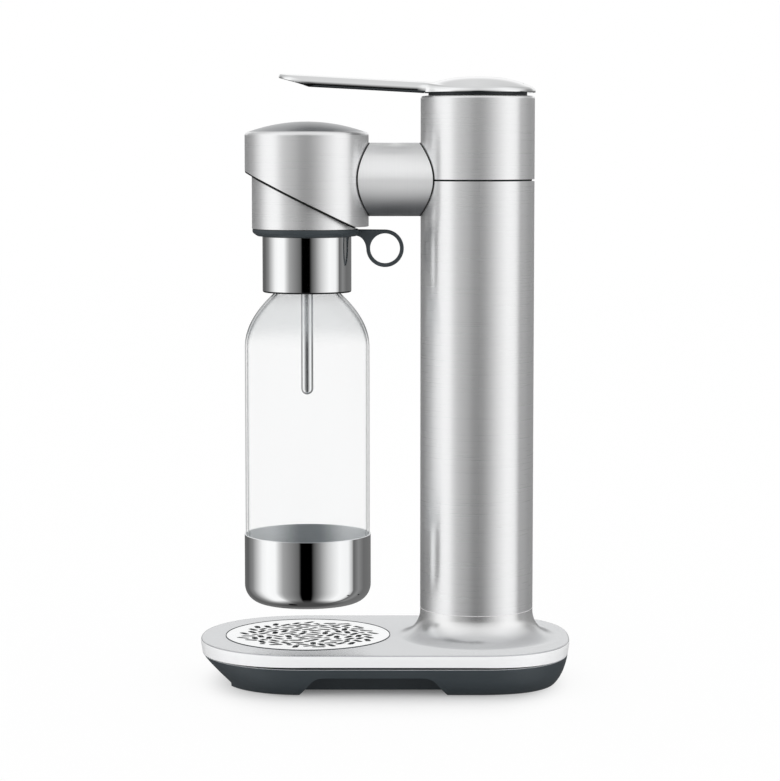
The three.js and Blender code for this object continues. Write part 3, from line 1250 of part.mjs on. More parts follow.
// Gas tube from the valve block through the arm core to the nozzle tail
function gasTube() {
  const tail = DOCK_PLATE_RECESS + DOCK_PLATE_THICKNESS + FIT + NOZZLE_FLANGE + NOZZLE_TAIL + FIT;
  const end = dockPoint(0, tail);
  const rise = dockPoint(0, tail + GAS_TUBE_BEND / 2);
  const start = at(GAS_PORT_X, 0, VALVE_BLOCK_LOW_Z - FIT);
  const shift = BOTTLE_AXIS_X;
  const path = new THREE.CatmullRomCurve3([
    start,
    at(GAS_PORT_X, 0, VALVE_BLOCK_LOW_Z - GAS_TUBE_BEND / 2),
    at(GAS_PORT_X - GAS_TUBE_BEND, 0, ARM_AXIS_Z),
    at(ARM_CORE_FRONT_X, 0, ARM_AXIS_Z),
    at(rise.x + shift + GAS_TUBE_BEND, 0, ARM_AXIS_Z + GAS_TUBE_RISE),
    at(rise.x + shift, 0, rise.z),
    at(end.x + shift, 0, end.z),
  ], false, 'centripetal');
  const ring = new THREE.Shape();
  ring.absarc(0, 0, GAS_TUBE_RADIUS, 0, 2 * Math.PI);
  return new THREE.ExtrudeGeometry(new THREE.Shape(ring.getPoints(GAS_TUBE_SIDES / 2).slice(0, -1)), {
    steps: GAS_TUBE_STEPS, bevelEnabled: false, extrudePath: path,
  });
}

part('arm_barrel', armBarrel(), brushedSteel, base);
part('arm_gasket_hood', armGasket(BOTTLE_AXIS_X, HOOD_RADIUS), blackRubber, base);
part('arm_gasket_column', armGasket(COLUMN_AXIS_X, COLUMN_RADIUS), blackRubber, base);
part('arm_core', armCore(), castAluminium, base);
part('gas_tube', gasTube(), siliconeRubber, base);
part('hood_shell', hoodShell(), brushedSteel, head);
part('dock_plate', dockPlate(), charcoalPlastic, head);
part('gas_nozzle', gasNozzle(), polishedSteel, head);
part('nozzle_seal', nozzleSeal(), siliconeRubber, head);

// Cap: a steel wedge closed by a slanted lid, on a dark core that screws onto the bottle
const cap = new THREE.Group();
head.add(cap);

function capShell() {
  const ring = tubeRing(CAP_RADIUS, CAP_RADIUS - CAP_WALL, CAP_BOTTOM_Z + FIT, DOCK_Z + HOOD_RADIUS);
  return cut(ring, dockHalf(CAP_PLANE, DOCK_REACH));
}

function capLid() {
  const top = CAP_PLANE - CAP_LID_RECESS;
  const low = top - CAP_LID_THICKNESS;
  const middle = (low + top) / 2;
  const bossLow = top - INLET_BOSS_DEPTH;
  const hook = hookPoint();
  const rib = dockSlab(
    -HOOD_RADIUS, hook.along + HOOK_RIB_MARGIN, hook.square - HOOK_RIB_MARGIN, middle,
    HOOK_HALF_LENGTH + HOOK_RIB_MARGIN,
  );
  const boss = dockTurned([
    [0, bossLow], [INLET_BOSS_RADIUS, bossLow], [INLET_BOSS_RADIUS, middle], [0, middle],
  ]);
  const bounded = disc(CAP_RADIUS - CAP_WALL - FIT, CAP_BOTTOM_Z + FIT, DOCK_Z + HOOD_RADIUS);
  const body = common(join(dockHalf(low, top), rib, boss), bounded);
  const half = HOOK_HALF_LENGTH + RUNNING_FIT;
  const groove = rod(
    hook.point.clone().setY(-half), hook.point.clone().setY(half), HOOK_GROOVE_RADIUS, TINY_STEPS,
  );
  const mouth = dockSlab(
    hook.along - HOOK_GROOVE_RADIUS, hook.along + HOOK_GROOVE_RADIUS, hook.square, top + OVERRUN, half,
  );
  const inlet = dockTurned([
    [0, bossLow - OVERRUN], [WAND_BORE, bossLow - OVERRUN], [WAND_BORE, bossLow / 2],
    [NOZZLE_RADIUS + RUNNING_FIT, bossLow / 2],
    [NOZZLE_RADIUS + RUNNING_FIT, top + OVERRUN], [0, top + OVERRUN],
  ]);
  return cut(body, groove, mouth, inlet);
}

function capCore() {
  const socketOuter = COLLAR_RADIUS - COLLAR_WALL - FIT;
  const socketLow = COLLAR_LOW_Z + COLLAR_ROUNDING;
  const chamferZ = (CAP_RING_LOW_Z + CAP_BOTTOM_Z) / 2;
  const hubTop = CAP_PLANE - CAP_LID_RECESS - INLET_BOSS_DEPTH - FIT;
  const body = revolve([
    [0, SOCKET_CEILING_Z], [BOTTLE_NECK_RADIUS + NECK_PLAY, SOCKET_CEILING_Z],
    [BOTTLE_NECK_RADIUS + NECK_PLAY, socketLow], [socketOuter, socketLow],
    [socketOuter, CAP_RING_LOW_Z], [CAP_RING_LOW_RADIUS, CAP_RING_LOW_Z], [CAP_RADIUS - FIT, chamferZ],
    [CAP_RADIUS - FIT, CAP_BOTTOM_Z], [HUB_RADIUS, CAP_BOTTOM_Z], [HUB_RADIUS, DOCK_Z], [0, DOCK_Z],
  ], MIDDLE_STEPS);
  const aboveHub = common(
    dockHalf(hubTop, HOOD_RADIUS), disc(HUB_RADIUS + FIT, CAP_BOTTOM_Z + FIT, DOCK_Z + OVERRUN),
  );
  const wandBore = revolve([
    [0, SOCKET_CEILING_Z - OVERRUN], [WAND_RADIUS + FIT, SOCKET_CEILING_Z - OVERRUN],
    [WAND_RADIUS + FIT, WAND_TOP_Z + FIT], [WAND_BORE, WAND_TOP_Z + FIT], [WAND_BORE, DOCK_Z], [0, DOCK_Z],
  ], SMALL_STEPS);
  const vent = revolve([
    [0, SOCKET_CEILING_Z - OVERRUN], [VENT_RADIUS, SOCKET_CEILING_Z - OVERRUN], [VENT_RADIUS, VENT_SEAT_Z],
    [VENT_SEAT_RADIUS, VENT_SEAT_Z + VENT_SEAT_RADIUS - VENT_RADIUS],
    [VENT_SEAT_RADIUS, CAP_BOTTOM_Z + OVERRUN],
    [0, CAP_BOTTOM_Z + OVERRUN],
  ], SMALL_STEPS).translate(VENT_X, 0, 0);
  const slotHalf = TAB_THICKNESS / 2 + RUNNING_FIT;
  const slot = box(
    VENT_X - TAB_FORK_LENGTH, CAP_RADIUS + OVERRUN, -slotHalf, slotHalf,
    CAP_RING_LOW_Z, CAP_BOTTOM_Z + OVERRUN,
  );
  return cut(
    body, aboveHub, dockHalf(CAP_PLANE, HOOD_RADIUS), wandBore, vent, slot,
    tabPinRod(TAB_PIN_RADIUS + FIT, TAB_PIN_HALF + FIT),
  );
}

function tabPinRod(radius, half) {
  return rod(at(TAB_PIN_X, -half, TAB_PIN_Z), at(TAB_PIN_X, half, TAB_PIN_Z), radius, TINY_STEPS);
}

function capCollar() {
  const inner = COLLAR_RADIUS - COLLAR_WALL;
  return revolve([
    [COLLAR_MOUTH_RADIUS, COLLAR_LOW_Z],
    ...arc(
      COLLAR_RADIUS - COLLAR_ROUNDING, COLLAR_LOW_Z + COLLAR_ROUNDING, COLLAR_ROUNDING,
      DOWNWARD, FULL_TURN, CORNER_STEPS,
    ),
    [COLLAR_RADIUS, CAP_RING_LOW_Z - FIT], [inner, CAP_RING_LOW_Z - FIT],
    [inner, COLLAR_LOW_Z + COLLAR_ROUNDING - FIT], [inner - COLLAR_WALL, COLLAR_LOW_Z + COLLAR_WALL],
    [COLLAR_MOUTH_RADIUS, COLLAR_LOW_Z + COLLAR_WALL],
  ]);
}

function bottleSeal() {
  return tubeRing(
    BOTTLE_NECK_RADIUS + FIT, BOTTLE_NECK_RADIUS - SEAL_INSET, BOTTLE_MOUTH_Z + FIT, SOCKET_CEILING_Z - FIT,
    MIDDLE_STEPS,
  );
}

function wand() {
  const flangeTop = SOCKET_CEILING_Z - FIT;
  return revolve([
    [WAND_ORIFICE, WAND_TIP_Z],
    ...arc(0, WAND_TIP_Z + WAND_RADIUS, WAND_RADIUS, DOWNWARD + WAND_TIP_SPREAD, FULL_TURN, CORNER_STEPS),
    [WAND_RADIUS, flangeTop - WAND_FLANGE], [WAND_FLANGE_RADIUS, flangeTop - WAND_FLANGE],
    [WAND_FLANGE_RADIUS, flangeTop], [WAND_RADIUS, flangeTop], [WAND_RADIUS, WAND_TOP_Z],
    [WAND_BORE, WAND_TOP_Z], [WAND_BORE, WAND_TIP_Z + WAND_RADIUS],
    [WAND_ORIFICE, WAND_TIP_Z + WAND_RADIUS / 2],
  ], SMALL_STEPS);
}

// Release tab: a finger ring on a web, with a forked arm under the head of the relief poppet
function releaseTab() {
  const half = TAB_THICKNESS / 2;
  const ringEdge = at(TAB_RING_X, 0, TAB_RING_Z);
  const web = new THREE.Shape();
  web.moveTo(TAB_PIN_X, TAB_PIN_Z + TAB_HUB_RADIUS);
  web.lineTo(TAB_RING_X, TAB_RING_Z + TAB_RING_RADIUS);
  web.lineTo(TAB_RING_X - TAB_RING_RADIUS, TAB_RING_Z);
  web.quadraticCurveTo(
    TAB_RING_X - TAB_WEB_BEND, TAB_PIN_Z - TAB_HUB_RADIUS, TAB_PIN_X, TAB_PIN_Z - TAB_HUB_RADIUS,
  );
  const armLow = TAB_PIN_Z - TAB_HUB_RADIUS;
  const arm = box(VENT_X - TAB_FORK_LENGTH / 2, TAB_PIN_X, -half, half, armLow, armLow + TAB_ARM_HEIGHT);
  const hub = rod(at(TAB_PIN_X, -half, TAB_PIN_Z), at(TAB_PIN_X, half, TAB_PIN_Z), TAB_HUB_RADIUS);
  const ring = rod(ringEdge.clone().setY(-half), ringEdge.clone().setY(half), TAB_RING_RADIUS, ROUND_STEPS);
  const hole = rod(
    ringEdge.clone().setY(-TAB_THICKNESS), ringEdge.clone().setY(TAB_THICKNESS), TAB_RING_HOLE, ROUND_STEPS,
  );
  const fork = box(
    0, VENT_X + TAB_FORK_LENGTH / 2, -TAB_FORK_GAP / 2, TAB_FORK_GAP / 2,
    armLow - OVERRUN, CAP_BOTTOM_Z + OVERRUN,
  );
  const webShape = new THREE.Shape(web.getPoints(ARC_STEPS));
  const body = join(sidePrism(webShape, -half, half), arm, hub, ring);
  return cut(body, hole, fork, tabPinRod(TAB_PIN_RADIUS + FIT, TAB_THICKNESS));
}

function reliefPoppet() {
  const armTop = TAB_PIN_Z - TAB_HUB_RADIUS + TAB_ARM_HEIGHT;
  const headLow = armTop + FIT;
  const seat = VENT_SEAT_Z + POPPET_PLAY;
  return revolve([
    [0, seat], [VENT_RADIUS, seat], [VENT_SEAT_RADIUS - POPPET_PLAY, seat + VENT_SEAT_RADIUS - VENT_RADIUS],
    [VENT_SEAT_RADIUS - POPPET_PLAY, seat + POPPET_CONE], [POPPET_STEM_RADIUS, seat + POPPET_CONE],
    [POPPET_STEM_RADIUS, headLow], [POPPET_HEAD_RADIUS, headLow],
    [POPPET_HEAD_RADIUS, headLow + POPPET_HEAD],
    [0, headLow + POPPET_HEAD],
  ], TINY_STEPS).translate(VENT_X, 0, 0);
}

// Bottle: a clear shell whose inner face follows the outer one at the wall
function bottleShoulder(inset) {
  const curve = new THREE.CubicBezierCurve(
    xz(BOTTLE_RADIUS - inset, BOTTLE_SHOULDER_Z),
    xz(BOTTLE_RADIUS - inset, BOTTLE_SHOULDER_Z + SHOULDER_RISE - inset / 2),
    xz(SHOULDER_HAUNCH_RADIUS - inset, SHOULDER_HAUNCH_Z - inset),
    xz(BOTTLE_NECK_RADIUS - inset, BOTTLE_NECK_Z - inset * NECK_INSET_SHARE),
  );
  return curve.getPoints(ARC_STEPS).map((point) => [point.x, point.y]);
}

function bottleFoot(inset) {
  const centreR = BASE_CUP_RADIUS - BASE_CUP_ROUNDING;
  const centreZ = BASE_CUP_BOTTOM_Z + BASE_CUP_ROUNDING;
  const radius = BASE_CUP_ROUNDING - BASE_CUP_WALL - FIT - inset;
  return [
    [0, centreZ - radius + BASE_CUP_KICK],
    [BASE_CUP_KICK_RADIUS, centreZ - radius],
    ...arc(centreR, centreZ, radius, DOWNWARD, FULL_TURN, CORNER_STEPS + 1),
  ];
}

function bottle() {
  const seated = BASE_CUP_RADIUS - BASE_CUP_WALL - FIT;
  const outer = [
    ...bottleFoot(0), [seated, BOTTLE_WAIST_Z - BOTTLE_WALL], [BOTTLE_RADIUS, BOTTLE_WAIST_Z],
    ...bottleShoulder(0), [BOTTLE_NECK_RADIUS, BOTTLE_MOUTH_Z],
  ];
  const inner = [
    ...bottleFoot(BOTTLE_WALL), [seated - BOTTLE_WALL, BOTTLE_WAIST_Z],
    [BOTTLE_RADIUS - BOTTLE_WALL, BOTTLE_WAIST_Z + BOTTLE_WALL],
    ...bottleShoulder(BOTTLE_WALL), [BOTTLE_NECK_RADIUS - BOTTLE_WALL, BOTTLE_MOUTH_Z],
  ];
  return revolve([...outer, ...inner.reverse()]);
}

function bottleCup() {
  const centreR = BASE_CUP_RADIUS - BASE_CUP_ROUNDING;
  const centreZ = BASE_CUP_BOTTOM_Z + BASE_CUP_ROUNDING;
  const inner = BASE_CUP_ROUNDING - BASE_CUP_WALL;
  return revolve([
    [0, BASE_CUP_BOTTOM_Z + BASE_CUP_KICK],
    [BASE_CUP_KICK_RADIUS, BASE_CUP_BOTTOM_Z],
    ...arc(centreR, centreZ, BASE_CUP_ROUNDING, DOWNWARD, FULL_TURN, CORNER_STEPS + 1),
    [BASE_CUP_RADIUS, BASE_CUP_RIM_Z], [BASE_CUP_RADIUS - BASE_CUP_WALL, BASE_CUP_RIM_Z],
    ...arc(centreR, centreZ, inner, FULL_TURN, DOWNWARD, CORNER_STEPS + 1),
    [BASE_CUP_KICK_RADIUS, centreZ - inner],
    [0, centreZ - inner + BASE_CUP_KICK],
  ]);
}

part('cap_shell', capShell(), brushedSteel, cap);
part('cap_lid', capLid(), charcoalPlastic, cap);
part('cap_core', capCore(), charcoalPlastic, cap);
part('cap_collar', capCollar(), polishedSteel, cap);
part('bottle_seal', bottleSeal(), siliconeRubber, cap);
part('wand', wand(), polishedSteel, cap);
part('release_tab', releaseTab(), charcoalPlastic, cap);
part('release_tab_pin', tabPinRod(TAB_PIN_RADIUS, TAB_PIN_HALF), castAluminium, cap);
part('relief_poppet', reliefPoppet(), siliconeRubber, cap);
part('bottle', bottle(), clearBottle, cap);
part('bottle_cup', bottleCup(), polishedSteel, cap);

export default sparklingWaterMaker;
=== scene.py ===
"""Looks of a sparkling water maker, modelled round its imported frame.

Lengths are metres. The bottle stands towards -X, the column towards +X, and the camera looks along +Y.
Sizes come from the boxes of the frame's nodes; walls, roundings and finishes are fields of the classes below.
"""

import json
import logging
import math
from dataclasses import dataclass
from enum import Enum
from typing import Callable, NamedTuple, Sequence

import bmesh
import bpy
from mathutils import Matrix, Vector

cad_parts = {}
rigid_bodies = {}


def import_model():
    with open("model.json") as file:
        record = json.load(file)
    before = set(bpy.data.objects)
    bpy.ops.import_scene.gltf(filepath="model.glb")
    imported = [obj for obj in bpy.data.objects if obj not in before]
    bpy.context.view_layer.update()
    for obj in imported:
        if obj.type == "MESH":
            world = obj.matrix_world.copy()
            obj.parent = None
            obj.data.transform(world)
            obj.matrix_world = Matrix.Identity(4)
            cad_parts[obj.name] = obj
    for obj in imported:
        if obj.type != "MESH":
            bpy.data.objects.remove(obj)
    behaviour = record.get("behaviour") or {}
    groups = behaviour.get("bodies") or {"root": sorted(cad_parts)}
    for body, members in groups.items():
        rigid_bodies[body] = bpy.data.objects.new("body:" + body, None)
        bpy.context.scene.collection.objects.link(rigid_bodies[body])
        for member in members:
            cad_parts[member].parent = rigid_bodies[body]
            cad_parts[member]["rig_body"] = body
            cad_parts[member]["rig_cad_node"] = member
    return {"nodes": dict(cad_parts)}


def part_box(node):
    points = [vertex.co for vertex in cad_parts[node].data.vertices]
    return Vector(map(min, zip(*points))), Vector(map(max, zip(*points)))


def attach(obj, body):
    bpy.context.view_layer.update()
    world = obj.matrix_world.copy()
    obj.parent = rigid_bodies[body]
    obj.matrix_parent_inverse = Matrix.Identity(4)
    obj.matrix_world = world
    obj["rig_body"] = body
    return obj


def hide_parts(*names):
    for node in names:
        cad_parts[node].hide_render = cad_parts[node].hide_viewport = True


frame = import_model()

log = logging.getLogger("water_maker")
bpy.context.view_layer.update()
MM = 0.001
POLE = 0.004 * MM
FINE, MIDDLE, SMALL = 128, 64, 40
Colour = tuple[float, float, float]
Pair = tuple[float, float]


def tone(red: int, green: int, blue: int) -> Colour:
    """Turns a colour as seen on a screen into the light values that a shader wants.

    Args:
        red: Red from 0 to 255.
        green: Green from 0 to 255.
        blue: Blue from 0 to 255.

    Returns:
        The three values in linear light.
    """
    def linear(value: int) -> float:
        """One channel in linear light."""
        share = value / 255
        return share / 12.92 if share <= 0.04045 else ((share + 0.055) / 1.055) ** 2.4

    return linear(red), linear(green), linear(blue)


# Shader writing


class Signal:
    """A shader socket that takes part in sums, so that maths is written as expressions."""

    def __init__(self, recipe: "Recipe", socket: bpy.types.NodeSocket) -> None:
        """Keeps the socket and the recipe that adds nodes for it."""
        self.recipe = recipe
        self.socket = socket

    def __add__(self, other: "Signal | float") -> "Signal":
        """Sum of two signals."""
        return self.recipe.maths("ADD", self, other)

    def __sub__(self, other: "Signal | float") -> "Signal":
        """Difference of two signals."""
        return self.recipe.maths("SUBTRACT", self, other)

    def __rsub__(self, other: float) -> "Signal":
        """A number less this signal."""
        return self.recipe.maths("SUBTRACT", other, self)

    def __mul__(self, other: "Signal | float") -> "Signal":
        """Product of two signals."""
        return self.recipe.maths("MULTIPLY", self, other)

    def __truediv__(self, other: "Signal | float") -> "Signal":
        """Quotient of two signals."""
        return self.recipe.maths("DIVIDE", self, other)

    def __neg__(self) -> "Signal":
        """The signal with its sign turned."""
        return self.recipe.maths("MULTIPLY", self, -1.0)

    __radd__ = __add__
    __rmul__ = __mul__


class Recipe:
    """Writes the nodes of one material or of the world."""

    def __init__(self, tree: bpy.types.NodeTree) -> None:
        """Starts on an emptied node tree.

        Args:
            tree: The tree of a material or a world.
        """
        tree.nodes.clear()
        self.tree = tree

    def node(self, kind: str, settings: dict | None = None, **inputs: object) -> bpy.types.Node:
        """Adds one node.

        Args:
            kind: The node's type name without its ShaderNode start.
            settings: Values set on the node, with a ramp's stops under "stops".
            inputs: Values or signals by socket name, with underscores for spaces.

        Returns:
            The new node.
        """
        added = self.tree.nodes.new("ShaderNode" + kind)
        for key, value in (settings or {}).items():
            if key == "stops":
                self._set_stops(added.color_ramp, value)
            else:
                setattr(added, key, value)
        for key, value in inputs.items():
            self._feed(added, key.replace("_", " "), value)
        return added

    def _set_stops(self, ramp: bpy.types.ColorRamp, stops: Sequence[tuple[float, Colour]]) -> None:
        """Gives a ramp its stops, in order of place."""
        while len(ramp.elements) < len(stops):
            ramp.elements.new(1.0)
        for element, (place, colour) in zip(ramp.elements, stops):
            element.position = place
            element.color = (*colour, 1.0)

    def _feed(self, node: bpy.types.Node, name: str, value: object) -> None:
        """Sets or links one open input, found by its name or number."""
        socket = next(s for s in node.inputs if s.enabled and s.name == name)
        if isinstance(value, Signal):
            self.tree.links.new(value.socket, socket)
        elif isinstance(value, tuple) and len(value) == 3 and socket.type == "RGBA":
            socket.default_value = (*value, 1.0)
        else:
            socket.default_value = value

    def signal(self, node: bpy.types.Node, name: str) -> Signal:
        """One open output of a node as a signal."""
        return Signal(self, next(s for s in node.outputs if s.enabled and s.name == name))

    def maths(self, operation: str, *values: "Signal | float") -> Signal:
        """One Math node on its numbered inputs."""
        added = self.node("Math", {"operation": operation})
        for socket, value in zip(added.inputs, values):
            if isinstance(value, Signal):
                self.tree.links.new(value.socket, socket)
            else:
                socket.default_value = value
        return self.signal(added, "Value")

    def mix(self, factor: "Signal | float", first: object, second: object) -> Signal:
        """Mixes two colours, the second one where the factor is 1."""
        added = self.node("Mix", {"data_type": "RGBA"}, Factor=factor, A=first, B=second)
        return self.signal(added, "Result")

    def place(self, scale: Colour) -> Signal:
        """The object's own coordinates, each axis multiplied by its scale."""
        coordinates = self.signal(self.node("TexCoord"), "Object")
        return self.signal(self.node("Mapping", {}, Vector=coordinates, Scale=scale), "Vector")

    def height(self) -> Signal:
        """Height over the stand."""
        split = self.node("SeparateXYZ", {}, Vector=self.place((1.0, 1.0, 1.0)))
        return self.signal(split, "Z")

    def ease(self, value: Signal, start: float, end: float) -> Signal:
        """Eases from 0 to 1 between two values."""
        ranged = self.node(
            "MapRange", {"interpolation_type": "SMOOTHSTEP"},
            **{"Value": value, "From Min": start, "From Max": end, "To Min": 0.0, "To Max": 1.0},
        )
        return self.signal(ranged, "Result")

    def noise(self, where: Signal, scale: float, detail: float = 3.0) -> Signal:
        """Soft noise from 0 to 1."""
        added = self.node("TexNoise", {}, Vector=where, Scale=scale, Detail=detail)
        return self.signal(added, "Fac")

    def bump(self, height: Signal, depth: float, strength: float = 1.0) -> Signal:
        """A normal from a height signal whose whole span is a depth in metres."""
        added = self.node("Bump", {}, Height=height, Distance=depth, Strength=strength)
        return self.signal(added, "Normal")

    def dress(self, **sockets: object) -> None:
        """Ends the recipe in one Principled shader with these sockets."""
        shader = self.node("BsdfPrincipled", {}, **sockets)
        output = self.node("OutputMaterial")
        self.tree.links.new(shader.outputs["BSDF"], output.inputs["Surface"])


def new_recipe(name: str) -> tuple[bpy.types.Material, Recipe]:
    """Makes a material and the recipe that writes its nodes."""
    material = bpy.data.materials.new(name)
    material.use_nodes = True
    return material, Recipe(material.node_tree)


# Finishes


class Grain(Enum):
    """Which way the brush went: the scales of the object's axes, and the turn of the streaks."""

    ROUND_THE_COLUMN = ((9.0, 9.0, 2400.0), 0.25)
    ROUND_THE_ARM = ((1500.0, 9.0, 9.0), 0.0)
    ALONG_THE_BASE = ((14.0, 1300.0, 60.0), 0.0)


@dataclass(frozen=True)
class BrushedSteel:
    """Steel brushed in one direction: fine streaks in colour, roughness and height, with an optional painted
    shading by height.
    """

    name: str
    grain: Grain
    light: Colour = tone(254, 254, 254)
    dark: Colour = tone(243, 244, 245)
    roughness: float = 0.28
    spread: float = 0.05
    stretch: float = 0.65
    metal: float = 0.8
    depth: float = 0.002 * MM
    # change and beyond paint shading by height: beyond these heights the colour eases to the second tone
    change: Pair | None = None
    beyond: Colour = tone(254, 254, 254)

    def material(self) -> bpy.types.Material:
        """Writes the finish; beyond the heights of its change the colour eases to a second tone, a painted
        shading by height.

        Returns:
            The material.
        """
        material, recipe = new_recipe(self.name)
        scales, turn = self.grain.value
        where = recipe.place(scales)
        streaks = recipe.noise(where, 1.0, 4.0)
        hairs = recipe.noise(where, 3.1, 2.0)
        both = streaks * 0.6 + hairs * 0.4
        colour = recipe.mix(both, self.dark, self.light)
        # painted shading: the second tone eases in beyond the given heights
        if self.change:
            painted_shading_share = recipe.ease(recipe.height(), *self.change)
            colour = recipe.mix(painted_shading_share * (both * 0.1 + 0.9), colour, self.beyond)
        recipe.dress(
            Base_Color=colour,
            Metallic=self.metal,
            Roughness=both * self.spread + (self.roughness - self.spread / 2),
            Anisotropic=self.stretch,
            Anisotropic_Rotation=turn,
            Normal=recipe.bump(both, self.depth, 0.2),
        )
        return material


@dataclass(frozen=True)
class PolishedSteel:
    """Mirror bright steel with faint wipe marks."""

    name: str
    colour: Colour = tone(254, 255, 255)
    worn: Colour = tone(249, 250, 251)
    roughness: float = 0.025
    wipe: float = 0.03

    def material(self) -> bpy.types.Material:
        """Writes the finish."""
        material, recipe = new_recipe(self.name)
        where = recipe.place((1.0, 1.0, 1.0))
        cloud = recipe.noise(where, 38.0, 4.0)
        film = recipe.noise(recipe.place((60.0, 60.0, 900.0)), 1.0, 2.0)
        recipe.dress(
            Base_Color=recipe.mix(cloud, self.worn, self.colour),
            Metallic=1.0,
            Roughness=cloud * film * self.wipe + self.roughness,
            Normal=recipe.bump(film, 0.001 * MM, 0.2),
        )
        return material


@dataclass(frozen=True)
class InnerSteel:
    """Dull steel inside the cup with a painted reflection: darker at its middle than at its sides."""

    name: str
    middle: float
    reach: Pair
    dark: Colour = tone(128, 134, 138)
    light: Colour = tone(250, 252, 253)

    def material(self) -> bpy.types.Material:
        """Writes the finish."""
        material, recipe = new_recipe(self.name)
        split = recipe.node("SeparateXYZ", {}, Vector=recipe.place((1.0, 1.0, 1.0)))
        # painted reflection: darker near the cup's middle in X, lighter towards its sides
        aside = recipe.maths("ABSOLUTE", recipe.signal(split, "X") - self.middle)
        film = recipe.noise(recipe.place((60.0, 60.0, 900.0)), 1.0, 2.0)
        side = recipe.ease(aside, *self.reach) * (film * 0.2 + 0.8)
        recipe.dress(
            Base_Color=recipe.mix(side, self.dark, self.light),
            Metallic=0.25,
            Roughness=film * 0.1 + 0.35,
            Normal=recipe.bump(film, 0.002 * MM, 0.2),
        )
        return material


@dataclass(frozen=True)
class MouldedPlastic:
    """Moulded plastic or rubber: fine spark grain, a slight cloud in the colour, soft gloss."""

    name: str
    colour: Colour
    paler: Colour
    roughness: float
    grain_scale: float = 2600.0
    depth: float = 0.02 * MM
    gloss: float = 0.5

    def material(self) -> bpy.types.Material:
        """Writes the finish."""
        material, recipe = new_recipe(self.name)
        where = recipe.place((1.0, 1.0, 1.0))
        spark = recipe.noise(where, self.grain_scale, 2.0)
        cloud = recipe.noise(where, 45.0, 3.0)
        recipe.dress(
            Base_Color=recipe.mix(cloud * 0.5 + spark * 0.3, self.colour, self.paler),
            Roughness=self.roughness + cloud * 0.1 - 0.05,
            Specular_IOR_Level=self.gloss,
            Normal=recipe.bump(spark, self.depth, 0.35),
        )
        return material


@dataclass(frozen=True)
class CastMetal:
    """Cast or machined metal out of sight: uneven colour and a rough skin."""

    name: str
    colour: Colour
    stain: Colour
    roughness: float = 0.42
    pits: float = 0.03 * MM

    def material(self) -> bpy.types.Material:
        """Writes the finish."""
        material, recipe = new_recipe(self.name)
        where = recipe.place((1.0, 1.0, 1.0))
        cloud = recipe.noise(where, 90.0, 5.0)
        skin = recipe.noise(where, 1400.0, 3.0)
        recipe.dress(
            Base_Color=recipe.mix(cloud, self.stain, self.colour),
            Metallic=1.0,
            Roughness=self.roughness + skin * 0.2 - 0.1,
            Normal=recipe.bump(skin, self.pits, 0.4),
        )
        return material


@dataclass(frozen=True)
class ClearPlastic:
    """Clear bottle plastic with painted shade: next to nothing face on, grey where its wall is seen edge on,
    and greyer over the shoulder by height.
    """

    name: str
    shoulder: Pair
    colour: Colour = tone(210, 214, 216)
    edge: Colour = tone(64, 70, 74)
    facing: float = 0.025
    haze: float = 0.015
    # thick: painted shade over the shoulder, eased in by height
    thick: float = 0.13
    edge_on: float = 0.55
    edge_start: float = 0.68
    neck_start: float = 0.6
    neck_edge: float = 0.6
    roughness: float = 0.03

    def material(self) -> bpy.types.Material:
        """Writes the finish."""
        material, recipe = new_recipe(self.name)
        flow = recipe.noise(recipe.place((1.0, 1.0, 0.35)), 26.0, 2.0)
        turned_away = recipe.signal(recipe.node("LayerWeight", {}, Blend=0.5), "Facing")
        edge = recipe.ease(turned_away, self.edge_start, 1.0)
        # painted shade: greyer by height over the shoulder and neck, and where the wall turns edge on
        thick = recipe.ease(recipe.height(), *self.shoulder)
        neck = recipe.ease(turned_away, self.neck_start, 0.95) * thick
        recipe.dress(
            Base_Color=recipe.mix(recipe.maths("MAXIMUM", edge, neck), self.colour, self.edge),
            Roughness=flow * 0.02 + self.roughness,
            Alpha=(
                edge * self.edge_on + neck * self.neck_edge
                + thick * self.thick + flow * self.haze + self.facing
            ),
            Normal=recipe.bump(flow, 0.05 * MM, 0.3),
        )
        return material


@dataclass(frozen=True)
class SoftSilicone:
    """Milky silicone that lets some light in."""

    name: str
    colour: Colour = tone(196, 200, 202)
    paler: Colour = tone(214, 217, 218)

    def material(self) -> bpy.types.Material:
        """Writes the finish."""
        material, recipe = new_recipe(self.name)
        cloud = recipe.noise(recipe.place((1.0, 1.0, 1.0)), 160.0, 3.0)
        recipe.dress(
            Base_Color=recipe.mix(cloud, self.colour, self.paler),
            Roughness=cloud * 0.15 + 0.35,
            Subsurface_Weight=0.3,
            Subsurface_Scale=1.5 * MM,
            Normal=recipe.bump(cloud, 0.02 * MM, 0.3),
        )
        return material


